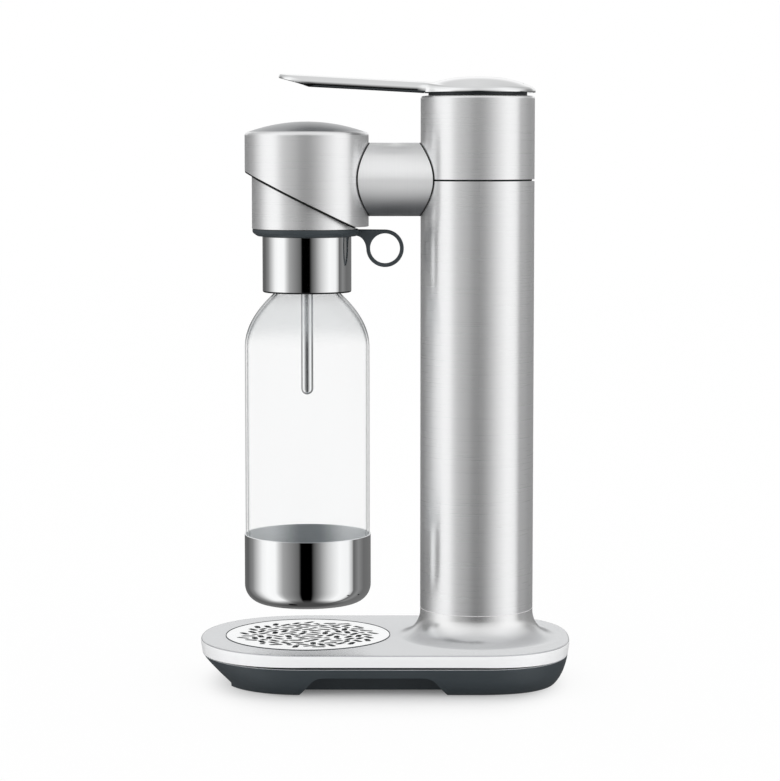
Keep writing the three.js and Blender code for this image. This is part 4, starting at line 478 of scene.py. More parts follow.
class Finishes:
    """Every finish of the maker, written once and shared."""

    def __init__(self) -> None:
        """Writes all the materials."""
        self.upright_steel = BrushedSteel("steel_brushed_round", Grain.ROUND_THE_COLUMN).material()
        arm = Extent.of("arm_barrel")
        middle = (arm.low.z + arm.high.z) / 2
        # painted shade: the arm's steel eases from just below its middle to a dark grey at its underside
        self.arm_steel = BrushedSteel(
            "steel_brushed_arm", Grain.ROUND_THE_ARM, roughness=0.36, spread=0.08, stretch=0.9, metal=0.45,
            change=(middle - 2 * MM, middle - 22 * MM), beyond=tone(98, 100, 103),
        ).material()
        # painted reflection: on the flared foot the satin steel eases to near white towards the column
        flare_top = Extent.of("base_plate").high.z
        self.base_steel = BrushedSteel(
            "steel_satin_base", Grain.ALONG_THE_BASE, light=tone(226, 227, 229),
            dark=tone(210, 212, 214), roughness=0.25, stretch=0.0, metal=0.8,
            change=(flare_top - 19 * MM, flare_top - 6 * MM),
        ).material()
        # painted reflection: the side band is near-white and almost without metal, standing in for the white
        # floor it mirrors
        self.band_steel = BrushedSteel(
            "steel_base_band", Grain.ALONG_THE_BASE, light=tone(253, 253, 254), dark=tone(248, 249, 250),
            metal=0.03, roughness=0.3, stretch=0.0,
        ).material()
        self.polished = PolishedSteel("steel_polished").material()
        self.grille = PolishedSteel("steel_grille", roughness=0.1, wipe=0.08).material()
        cup = Extent.of("bottle_cup")
        self.cup_inside = InnerSteel("steel_cup_inside", cup.middle_x, (5 * MM, 30 * MM)).material()
        self.dome_steel = BrushedSteel(
            "steel_dome", Grain.ROUND_THE_COLUMN, light=tone(176, 178, 180), dark=tone(156, 158, 161),
            roughness=0.3, stretch=0.2, metal=1.0,
        ).material()
        self.slate = MouldedPlastic(
            "plastic_slate", tone(52, 60, 65), tone(60, 68, 73), 0.5
        ).material()
        # painted shadow: near-black plastic for the moulding's lip, which sits in the shadow gap under the
        # cover
        self.gap_painted_shadow = MouldedPlastic(
            "plastic_gap_painted_shadow", tone(8, 9, 10), tone(15, 16, 17), 0.6
        ).material()
        # painted highlight: a pale tone on the moulding's ledge and its bevel, standing in for the light line
        # they catch
        self.slate_painted_highlight = MouldedPlastic(
            "plastic_slate_painted_highlight", tone(188, 193, 197), tone(200, 204, 208), 0.4
        ).material()
        self.charcoal = MouldedPlastic(
            "plastic_charcoal", tone(42, 48, 51), tone(52, 58, 62), 0.38
        ).material()
        self.rubber = MouldedPlastic(
            "rubber_black", tone(16, 17, 18), tone(26, 27, 28), 0.72, grain_scale=1800.0, gloss=0.3
        ).material()
        self.cast = CastMetal("aluminium_cast", tone(186, 188, 190), tone(160, 162, 165)).material()
        self.cylinder = CastMetal(
            "aluminium_drawn", tone(176, 180, 184), tone(160, 165, 170), 0.34, 0.01 * MM
        ).material()
        self.brass = CastMetal(
            "brass_turned", tone(204, 168, 96), tone(184, 146, 78), 0.3, 0.01 * MM
        ).material()
        self.silicone = SoftSilicone("silicone_milky").material()
        mouth = Extent.of("bottle").high.z
        shoulder = (mouth - 62 * MM, mouth - 45 * MM)
        self.clear = ClearPlastic("bottle_clear", shoulder).material()


# Modelling


class Turn(NamedTuple):
    """One corner of a turned profile: distance from the axis, height, and how much it is rounded."""

    radius: float
    height: float
    rounding: float = 0.0


def eased(corners: Sequence[Sequence[float]], steps: int = 5) -> list[Pair]:
    """Rounds the corners of an open line in a plane.

    Args:
        corners: Points with a third value, the length that the rounding takes from each side.
        steps: Faces in each rounding.

    Returns:
        The line's points.
    """
    points: list[Pair] = []
    for i, (across, up, rounding) in enumerate(corners):
        here = Vector((across, up))
        if rounding <= 0 or i in (0, len(corners) - 1):
            points.append((across, up))
            continue
        before = Vector(corners[i - 1][:2]) - here
        after = Vector(corners[i + 1][:2]) - here
        first = here + before.normalized() * min(rounding, before.length * 0.49)
        last = here + after.normalized() * min(rounding, after.length * 0.49)
        for k in range(steps + 1):
            t = k / steps
            point = first * (1 - t) ** 2 + here * (2 * t * (1 - t)) + last * t**2
            points.append((point.x, point.y))
    return points


def arc(centre: Pair, radius: float, start: float, end: float, steps: int) -> list[Turn]:
    """Points of a round arc in a profile, with angles in degrees from straight out."""
    turns = []
    for k in range(steps + 1):
        angle = math.radians(start + (end - start) * k / steps)
        turns.append(Turn(centre[0] + radius * math.cos(angle), centre[1] + radius * math.sin(angle)))
    return turns


def clear_selection() -> None:
    """Leaves edit mode and deselects every object."""
    if bpy.context.object is not None and bpy.context.object.mode != "OBJECT":
        bpy.ops.object.mode_set(mode="OBJECT")
    bpy.ops.object.select_all(action="DESELECT")


def pick(*objects: bpy.types.Object) -> None:
    """Selects these objects alone, the first one active."""
    clear_selection()
    for obj in objects:
        obj.select_set(True)
    bpy.context.view_layer.objects.active = objects[0]


def edit(obj: bpy.types.Object, select: str = "SELECT") -> None:
    """Enters edit mode on one object with all or nothing selected."""
    pick(obj)
    bpy.ops.object.mode_set(mode="EDIT")
    bpy.ops.mesh.select_mode(type="VERT")
    bpy.ops.mesh.select_all(action=select)


def done(obj: bpy.types.Object, name: str) -> bpy.types.Object:
    """Leaves edit mode and names the object and its mesh."""
    bpy.ops.object.mode_set(mode="OBJECT")
    obj.name = name
    obj.data.name = name
    return obj


def tidy_up(distance: float = 0.01 * MM) -> None:
    """Merges doubles and turns all faces outwards, in edit mode."""
    bpy.ops.mesh.select_all(action="SELECT")
    bpy.ops.mesh.remove_doubles(threshold=distance)
    bpy.ops.mesh.normals_make_consistent(inside=False)


def turned(
    name: str, axis: Pair, profile: Sequence[Sequence[float]], steps: int = FINE, fineness: int = 5
) -> bpy.types.Object:
    """Turns a profile round an upright axis by extruding and resizing a circle.

    Args:
        name: Name of the piece.
        axis: X and Y of the axis.
        profile: Corners from one end to the other; a loop ends where it starts.
        steps: Faces round the axis.
        fineness: Faces in each rounding.

    Returns:
        The piece, closed where its profile is a loop or starts and ends on the axis.
    """
    line = eased([(*corner, 0.0)[:3] for corner in profile], fineness)
    widest = max(range(len(line)), key=lambda i: line[i][0])
    clear_selection()
    bpy.ops.mesh.primitive_circle_add(
        vertices=steps, radius=line[widest][0], fill_type="NOTHING", location=(0, 0, line[widest][1]),
        rotation=(0, 0, -math.pi / 2),
    )
    obj = bpy.context.object
    bpy.ops.object.transform_apply(location=True, rotation=True, scale=True)
    for way in (line[widest:], line[widest::-1]):
        edit(obj, "DESELECT")
        bpy.ops.object.mode_set(mode="OBJECT")
        for vertex in obj.data.vertices[:steps]:
            vertex.select = True
        bpy.ops.object.mode_set(mode="EDIT")
        radius, height = way[0]
        for next_radius, next_height in way[1:]:
            bpy.ops.mesh.extrude_region_move(
                TRANSFORM_OT_translate={"value": (0, 0, next_height - height)}
            )
            share = max(next_radius, POLE) / max(radius, POLE)
            if abs(share - 1) > 1e-9:
                bpy.ops.transform.resize(value=(share, share, 1), center_override=(0, 0, 0))
            radius, height = next_radius, next_height
    bpy.ops.mesh.select_all(action="SELECT")
    bpy.ops.transform.translate(value=(axis[0], axis[1], 0))
    tidy_up()
    return done(obj, name)


def swept(name: str, rings: Sequence[Sequence[Vector]], round_ring: bool = True) -> bpy.types.Object:
    """Lays a grid over rows of points, for forms that only a formula gives.

    Args:
        name: Name of the piece.
        rings: Rows with the same number of points.
        round_ring: Whether each row closes on itself.

    Returns:
        The piece, open at its first and last row.
    """
    rows = [[*ring, ring[0]] if round_ring else list(ring) for ring in rings]
    clear_selection()
    bpy.ops.mesh.primitive_grid_add(
        x_subdivisions=len(rows[0]) - 1, y_subdivisions=len(rows) - 1, size=1, location=(0, 0, 0)
    )
    obj = bpy.context.object
    vertices = obj.data.vertices
    for i, point in enumerate(point for row in rows for point in row):
        vertices[i].co = point
    edit(obj)
    tidy_up(0.002 * MM)
    return done(obj, name)


def block(name: str, low: Sequence[float], high: Sequence[float]) -> bpy.types.Object:
    """A plain box between two corners, used to cut others."""
    clear_selection()
    middle = [(a + b) / 2 for a, b in zip(low, high)]
    size = [b - a for a, b in zip(low, high)]
    bpy.ops.mesh.primitive_cube_add(size=1, location=middle, scale=size)
    obj = bpy.context.object
    bpy.ops.object.transform_apply(location=True, rotation=True, scale=True)
    obj.name = name
    return obj


def bar(
    name: str, start: Sequence[float], end: Sequence[float], radius: float, steps: int = SMALL
) -> bpy.types.Object:
    """A round bar between two points."""
    clear_selection()
    along = Vector(end) - Vector(start)
    bpy.ops.mesh.primitive_cylinder_add(
        vertices=steps, radius=radius, depth=along.length, location=(Vector(start) + Vector(end)) / 2,
        rotation=along.to_track_quat("Z", "Y").to_euler(),
    )
    obj = bpy.context.object
    bpy.ops.object.transform_apply(location=True, rotation=True, scale=True)
    obj.name = name
    return obj


def plate(
    name: str, outlines: Sequence[Sequence[Vector]], along: Vector, merge: bool = True
) -> bpy.types.Object:
    """A flat plate from an outline with holes, as thick as the vector along.

    Args:
        name: Name of the piece.
        outlines: The outer line first, then its holes, all in one plane.
        along: Direction and size of the thickness.
        merge: Whether the fill's triangles are merged into larger faces.

    Returns:
        The closed plate.
    """
    loops = []
    for outline in outlines:
        clear_selection()
        bpy.ops.mesh.primitive_circle_add(vertices=len(outline), radius=MM, fill_type="NOTHING")
        loop = bpy.context.object
        bpy.ops.object.transform_apply(location=True, rotation=True, scale=True)
        for vertex, point in zip(loop.data.vertices, outline):
            vertex.co = point
        loops.append(loop)
    pick(*loops)
    if len(loops) > 1:
        bpy.ops.object.join()
    edit(loops[0])
    bpy.ops.mesh.fill(use_beauty=True)
    bpy.ops.mesh.select_all(action="SELECT")
    if merge:
        bpy.ops.mesh.dissolve_limited(angle_limit=math.radians(1))
        bpy.ops.mesh.select_all(action="SELECT")
    bpy.ops.mesh.extrude_region_move(TRANSFORM_OT_translate={"value": along})
    tidy_up()
    return done(loops[0], name)


def bisected(
    obj: bpy.types.Object, point: Sequence[float], normal: Sequence[float], fill: bool = True
) -> bpy.types.Object:
    """Cuts off what lies on the normal's side of a plane."""
    edit(obj)
    bpy.ops.mesh.bisect(plane_co=point, plane_no=normal, use_fill=fill, clear_outer=True, threshold=1e-7)
    return done(obj, obj.name)


def combined(
    obj: bpy.types.Object, operation: str, *tools: bpy.types.Object
) -> bpy.types.Object:
    """Applies a boolean with each tool in turn and removes the tools."""
    for tool in tools:
        pick(obj)
        step = obj.modifiers.new("cut", "BOOLEAN")
        step.operation = operation
        step.solver = "EXACT"
        step.object = tool
        bpy.ops.object.modifier_apply(modifier=step.name)
        bpy.data.objects.remove(tool, do_unlink=True)
    return obj


def joined(obj: bpy.types.Object, *others: bpy.types.Object) -> bpy.types.Object:
    """Makes several meshes one piece under the first one's name."""
    pick(obj, *others)
    bpy.ops.object.join()
    return obj


def walled(obj: bpy.types.Object, wall: float) -> bpy.types.Object:
    """Gives an open skin its wall, inwards."""
    pick(obj)
    step = obj.modifiers.new("wall", "SOLIDIFY")
    step.thickness = wall
    step.offset = -1
    step.use_even_offset = True
    step.use_quality_normals = True
    bpy.ops.object.modifier_apply(modifier=step.name)
    return obj


def softened(
    obj: bpy.types.Object, width: float, angle: float = 40.0, segments: int = 2, smooth: float = 32.0
) -> bpy.types.Object:
    """Bevels the sharp edges and shades the rest smooth.

    Args:
        obj: The piece.
        width: Width of the bevel, or 0 for none.
        angle: Edges sharper than this many degrees are bevelled.
        segments: Faces across a bevel.
        smooth: Edges flatter than this many degrees are shaded smooth.

    Returns:
        The piece.
    """
    pick(obj)
    if width > 0:
        step = obj.modifiers.new("edges", "BEVEL")
        step.width = width
        step.segments = segments
        step.limit_method = "ANGLE"
        step.angle_limit = math.radians(angle)
        step.use_clamp_overlap = True
        bpy.ops.object.modifier_apply(modifier=step.name)
    bpy.ops.object.shade_smooth_by_angle(angle=math.radians(smooth))
    step = obj.modifiers.new("normals", "WEIGHTED_NORMAL")
    step.keep_sharp = True
    bpy.ops.object.modifier_apply(modifier=step.name)
    return obj


def copy_of(obj: bpy.types.Object, name: str, offset: Sequence[float]) -> bpy.types.Object:
    """A copy with its own mesh, moved by an offset."""
    pick(obj)
    bpy.ops.object.duplicate()
    twin = bpy.context.object
    twin.name = name
    twin.data.name = name
    edit(twin)
    bpy.ops.transform.translate(value=offset)
    return done(twin, name)


def rounded_copy(node: str, name: str, width: float = 0.15 * MM) -> bpy.types.Object:
    """A merged copy of a frame node with softened edges and smooth rounds."""
    pick(frame["nodes"][node])
    bpy.ops.object.duplicate()
    twin = bpy.context.object
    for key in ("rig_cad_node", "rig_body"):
        if key in twin:
            del twin[key]
    twin.parent = None
    edit(twin)
    tidy_up(0.001 * MM)
    bpy.ops.mesh.select_all(action="SELECT")
    bpy.ops.mesh.dissolve_limited(angle_limit=math.radians(2))
    done(twin, name)
    return softened(twin, width, angle=35.0, segments=2)


def place_piece(
    obj: bpy.types.Object, material: bpy.types.Material, body: str, slot: str, *nodes: str
) -> bpy.types.Object:
    """Gives a finished piece its finish and body, and hides the nodes that it stands for."""
    obj.data.materials.clear()
    obj.data.materials.append(material)
    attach(obj, body)
    if nodes:
        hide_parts(*nodes)
    log.info("%s: %d faces on %s", obj.name, len(obj.data.polygons), body)
    return obj


def refinished(
    obj: bpy.types.Object, material: bpy.types.Material, chosen: Callable[[Vector, Vector], bool]
) -> bpy.types.Object:
    """Gives some faces of a finished piece a second finish.

    Args:
        obj: The piece.
        material: The second finish.
        chosen: Says from a face's middle and normal whether it takes it.

    Returns:
        The piece.
    """
    obj.data.materials.append(material)
    for face in obj.data.polygons:
        if chosen(face.center, face.normal):
            face.material_index = len(obj.data.materials) - 1
    return obj


def out_of_mirrors(*pieces: bpy.types.Object) -> None:
    """Keeps pieces out of the polished steel, which shows the room's panels alone."""
    for piece in pieces:
        piece.visible_glossy = False


# Sub-assemblies


@dataclass(frozen=True)
class Extent:
    """The box of a frame node at rest."""

    low: Vector
    high: Vector

    @classmethod
    def of(cls, node: str) -> "Extent":
        """Measures one node."""
        low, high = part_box(node)
        return cls(low, high)

    @property
    def middle_x(self) -> float:
        """Half way along X."""
        return (self.low.x + self.high.x) / 2

    @property
    def radius(self) -> float:
        """Half of the width in Y, for round nodes."""
        return self.high.y


BOTTLE_X = Extent.of("bottle").middle_x
COLUMN_X = Extent.of("column_head_shell").middle_x


@dataclass
class Base:
    """The steel cover with the column's flared foot, the dark moulding, its feet and screws."""

    finishes: Finishes
    wall: float = 2.0 * MM
    draft: float = 1.0 * MM
    rounding: float = 2.4 * MM
    edge_rise: float = 1.8 * MM
    shoulder: float = 3.7 * MM
    front_power: float = 2.15
    rear_power: float = 2.4
    flare: float = 18.3 * MM
    flare_rise: float = 20.3 * MM
    band_height: float = 9.9 * MM
    end_steps: int = 56
    lip_inset: float = 3.6 * MM
    lip_wall: float = 2.4 * MM
    belly: Pair = (3.2 * MM, 8.0 * MM)
    foot_inset: float = 16.5 * MM
    floor: float = 6.0 * MM
    pocket_inset: float = 15.0 * MM
    pocket_half: float = 40.6 * MM
    pocket_reach: float = 45.0 * MM
    arch: tuple[float, float, float, float] = (-60.0 * MM, 44.0 * MM, 12.0 * MM, 15.5 * MM)
    arch_depth: float = 43.0 * MM
    front_arch: tuple[float, float, float, float] = (-37.5 * MM, 37.5 * MM, 10.0 * MM, 10.0 * MM)
    front_slope: float = 7.5 * MM
    rear_fullness: float = 7.0 * MM
    ledge_gap: float = 2.2 * MM
    front_arch_rear: float = -108.0 * MM

    def __post_init__(self) -> None:
        """Takes the base's own sizes from the frame."""
        cover = Extent.of("base_plate")
        moulding = Extent.of("base_moulding")
        self.half_width = cover.radius
        self.front = BOTTLE_X - cover.low.x
        self.rear = cover.high.x - COLUMN_X
        self.flare_top = cover.high.z
        self.top = self.flare_top - self.flare_rise
        self.edge = self.top - self.band_height
        self.foot_z = moulding.low.z
        self.lip_z = moulding.high.z
        self.column_radius = Extent.of("column_head_shell").radius

    def outline(self, inset: float, slimmer: Pair = (0.0, 0.0)) -> list[Pair]:
        """The base's outline: two rounded ends with straight sides between them.

        Args:
            inset: Distance from the widest line.
            slimmer: How much more the front end and the rear end draw in.

        Returns:
            Its points, the same number for every inset.
        """
        points = []
        ends = (
            (COLUMN_X, self.rear - inset - slimmer[1], self.rear_power, -1),
            (BOTTLE_X, self.front - inset - slimmer[0], self.front_power, 1),
        )
        for centre, reach, power, turn in ends:
            for i in range(self.end_steps + 1):
                angle = math.pi / 2 * turn + math.pi * i / self.end_steps
                c, s = math.cos(angle), math.sin(angle)
                across = math.copysign(abs(c) ** (2 / power), c) * reach
                side = math.copysign(abs(s) ** (2 / power), s) * (self.half_width - inset)
                points.append((centre + across, side))
        return points

    def ring(
        self, inset: float, height: float | Callable[[float], float], slimmer: Pair = (0.0, 0.0)
    ) -> list[Vector]:
        """The outline at one height, or at a height that changes along X."""
        level = height if callable(height) else (lambda _x: height)
        return [Vector((x, y, level(x))) for x, y in self.outline(inset, slimmer)]

    def lower_edge(self, x: float) -> float:
        """Height of the cover's lower edge, which rises slightly towards the middle."""
        return self.edge + self.edge_rise * (1 - (x / (self.front - BOTTLE_X)) ** 2)

    def cover(self) -> bpy.types.Object:
        """The pressed cover: side band, top with the tray's hole, and the flared foot."""
        side = eased(
            [
                (0, self.top - self.shoulder, 0),
                (0, self.top, self.rounding),
                (self.rounding * 1.4, self.top, 0),
            ],
            6,
        )
        rings = [self.ring(self.draft, self.lower_edge)]
        rings += [self.ring(inset, height) for inset, height in side]
        skirt = swept("base_cover", rings)
        centre = (self.column_radius + self.flare, self.top + self.flare)
        foot = turned("foot_flare", (COLUMN_X, 0), [*arc(centre, self.flare, 270, 180, 20),
                      Turn(self.column_radius, self.flare_top)])
        clear_selection()
        hole_radius = Extent.of("drip_grille").radius + 0.6 * MM
        bpy.ops.mesh.primitive_circle_add(
            vertices=FINE, radius=hole_radius, fill_type="NOTHING", location=(BOTTLE_X, 0, self.top)
        )
        hole = bpy.context.object
        bpy.ops.object.transform_apply(location=True, rotation=True, scale=True)
        joined(skirt, foot, hole)
        edit(skirt, "DESELECT")
        mesh = bmesh.from_edit_mesh(skirt.data)
        for edge in mesh.edges:
            level = all(abs(v.co.z - self.top) < 1e-6 for v in edge.verts)
            edge.select_set(level and (edge.is_boundary or edge.is_wire))
        bmesh.update_edit_mesh(skirt.data)
        bpy.ops.mesh.select_mode(type="EDGE")
        bpy.ops.mesh.fill(use_beauty=True)
        tidy_up(0.001 * MM)
        done(skirt, "base_cover")
        return softened(walled(skirt, self.wall), 0.3 * MM, angle=50.0)

    def arch_outline(self, start: float, end: float, run: float, height: float) -> list[Pair]:
        """Outline of a finger arch: sloping ends, an eased top corner."""
        low = -5 * MM
        slope = run / height
        corners = [
            (start + low * slope, low, 0), (start + run, height, 6 * MM),
            (end - run, height, 6 * MM), (end - low * slope, low, 0),
        ]
        return eased(corners, 8)

    def ledge(self, x: float) -> float:
        """Height of the moulding's ledge under the cover: the gap opens a little towards the middle."""
        rise = self.lower_edge(x) - self.edge
        return self.edge - 0.3 * MM + rise * (1 - (self.ledge_gap - 0.3 * MM) / self.edge_rise)

    def moulding(self) -> bpy.types.Object:
        """The boat shaped moulding with its lip, hollow, tray well, pocket and arches."""
        under = self.edge - 0.3 * MM
        rings = [self.ring(self.foot_inset + 25 * MM, self.foot_z)]
        for k in range(13):
            t = k / 12
            inset = self.foot_inset * (1 - t) ** 2 + self.belly[0] * 2 * t * (1 - t) + self.draft * t * t
            height = self.foot_z * (1 - t) ** 2 + self.belly[1] * 2 * t * (1 - t) + under * t * t
            slimmer = (self.front_slope * 4 * t * (1 - t) * (1 - t / 2), -self.rear_fullness * (1 - t) ** 2)
            rings.append(self.ring(inset, self.ledge if k == 12 else height, slimmer))
        inner = self.lip_inset + self.lip_wall
        hollow = self.arch[3] + self.lip_wall
        profile = [
            (self.lip_inset, self.ledge), (self.lip_inset, self.lip_z), (inner, self.lip_z),
            (inner, hollow), (inner + 20 * MM, hollow),
        ]
        rings += [self.ring(inset, height) for inset, height in profile]
        body = swept("base_moulding_shell", rings)
        edit(body, "DESELECT")
        bpy.ops.mesh.select_mode(type="EDGE")
        bpy.ops.mesh.select_non_manifold()
        bpy.ops.mesh.edge_face_add()
        done(body, body.name)
        edit(body)
        tidy_up(0.001 * MM)
        done(body, body.name)
        return self.carve_moulding(body)

    def carve_moulding(self, body: bpy.types.Object) -> bpy.types.Object:
        """Cuts the well, pocket, arches and foot seats into the moulding."""
        cup = Extent.of("drip_cup")
        far = self.half_width + 5 * MM
        well = turned("well", (BOTTLE_X, 0), [
            Turn(0, cup.low.z - 0.3 * MM), Turn(58.7 * MM, cup.low.z - 0.3 * MM),
            Turn(58.7 * MM, far), Turn(0, far),
        ])
        pocket = swept("pocket", [self.ring(self.pocket_inset, h) for h in (self.floor, 2 * far)])
        edit(pocket, "DESELECT")
        bpy.ops.mesh.select_mode(type="EDGE")
        bpy.ops.mesh.select_non_manifold()
        bpy.ops.mesh.edge_face_add()
        done(pocket, "pocket")
        bisected(pocket, (BOTTLE_X - self.pocket_reach, 0, 0), (-1, 0, 0))
        for side in (-1, 1):
            bisected(pocket, (0, side * self.pocket_half, 0), (0, side, 0))
        tools = [well, pocket]
        outline = self.arch_outline(*self.arch)
        for side in (-1, 1):
            line = [Vector((x, side * self.arch_depth, z)) for x, z in outline]
            tools.append(plate("arch", [line], Vector((0, side * (far - self.arch_depth), 0))))
        front = [Vector((self.front_arch_rear, y, z)) for y, z in self.arch_outline(*self.front_arch)]
        tools.append(plate("arch_front", [front], Vector((-60 * MM, 0, 0))))
        for node in FEET:
            foot = Extent.of(node)
            tools.append(bar("seat", (foot.middle_x, (foot.low.y + foot.high.y) / 2, -far),
                             (foot.middle_x, (foot.low.y + foot.high.y) / 2, foot.high.z + 0.3 * MM),
                             8.3 * MM))
        for k in range(1, 5):
            screw = Extent.of(f"base_screw_{k}")
            y = (screw.low.y + screw.high.y) / 2
            tools.append(bar("sink", (screw.middle_x, y, -far), (screw.middle_x, y, 3.5 * MM), 3.5 * MM, 24))
            tools.append(bar("hole", (screw.middle_x, y, 0), (screw.middle_x, y, 11 * MM), 1.7 * MM, 16))
        combined(body, "DIFFERENCE", *tools)
        return softened(body, 0.35 * MM, angle=35.0, segments=3)

    def boss(self) -> bpy.types.Object:
        """One screw boss under the cover, at the first screw."""
        screw = Extent.of("base_screw_1")
        y = (screw.low.y + screw.high.y) / 2
        low, high = self.floor + 0.3 * MM, self.top - self.wall
        loop = [(1.7 * MM, low), (4 * MM, low), (4 * MM, high), (1.7 * MM, high), (1.7 * MM, low)]
        return turned("boss", (screw.middle_x, y), loop, 24)

    def foot(self) -> bpy.types.Object:
        """One rubber foot with a rounded rim and a shallow recess underneath, at the first place."""
        box = Extent.of(FEET[0])
        y = (box.low.y + box.high.y) / 2
        radius = box.high.x - box.middle_x
        profile = [
            Turn(0, 0.4 * MM), Turn(3 * MM, 0.4 * MM, 0.3 * MM), Turn(3.4 * MM, 0, 0.2 * MM),
            Turn(radius - MM, 0, 0.3 * MM), Turn(radius, MM, 0.4 * MM),
            Turn(radius, box.high.z, 0.2 * MM), Turn(0, box.high.z),
        ]
        return softened(turned(FEET[0] + "_pad", (box.middle_x, y), profile, MIDDLE), 0)

    def build(self) -> None:
        """Models and dresses the base."""
        cover = self.cover()
        first = Extent.of("base_screw_1")
        boss = self.boss()
        bosses = [boss]
        for k in range(2, 5):
            other = Extent.of(f"base_screw_{k}")
            bosses.append(copy_of(boss, f"boss_{k}", other.low - first.low))
        joined(cover, *bosses)
        place_piece(cover, self.finishes.base_steel, "machine", "brushed_steel", "base_plate")
        band_top, ledge_low = self.top - 0.2 * MM, self.edge - 1.2 * MM
        # the side band takes the near-white finish, a painted reflection
        refinished(cover, self.finishes.band_steel, lambda middle, normal: (
            middle.z < band_top and normal.z < 0.5
        ))
        moulding = place_piece(
            self.moulding(), self.finishes.slate, "machine", "dark_plastic", "base_moulding"
        )
        # painted shadow: the moulding's faces above its ledge, in the gap under the cover, are near-black
        refinished(moulding, self.finishes.gap_painted_shadow, lambda middle, normal: (
            middle.z > self.ledge(middle.x) + 0.1 * MM
        ))
        # painted highlight: the ledge and its bevel under the cover's lower edge take the pale tone
        refinished(moulding, self.finishes.slate_painted_highlight, lambda middle, normal: (
            normal.z > 0.2 and ledge_low < middle.z < self.ledge(middle.x) + 0.1 * MM
        ))
        out_of_mirrors(cover, moulding)
        foot = self.foot()
        low = Extent.of(FEET[0]).low
        for node in FEET[1:]:
            twin = copy_of(foot, node + "_pad", Extent.of(node).low - low)
            place_piece(twin, self.finishes.rubber, "machine", "black_rubber", node)
        place_piece(foot, self.finishes.rubber, "machine", "black_rubber", FEET[0])


FEET = ("foot_front_left", "foot_front_right", "foot_rear_left", "foot_rear_right")


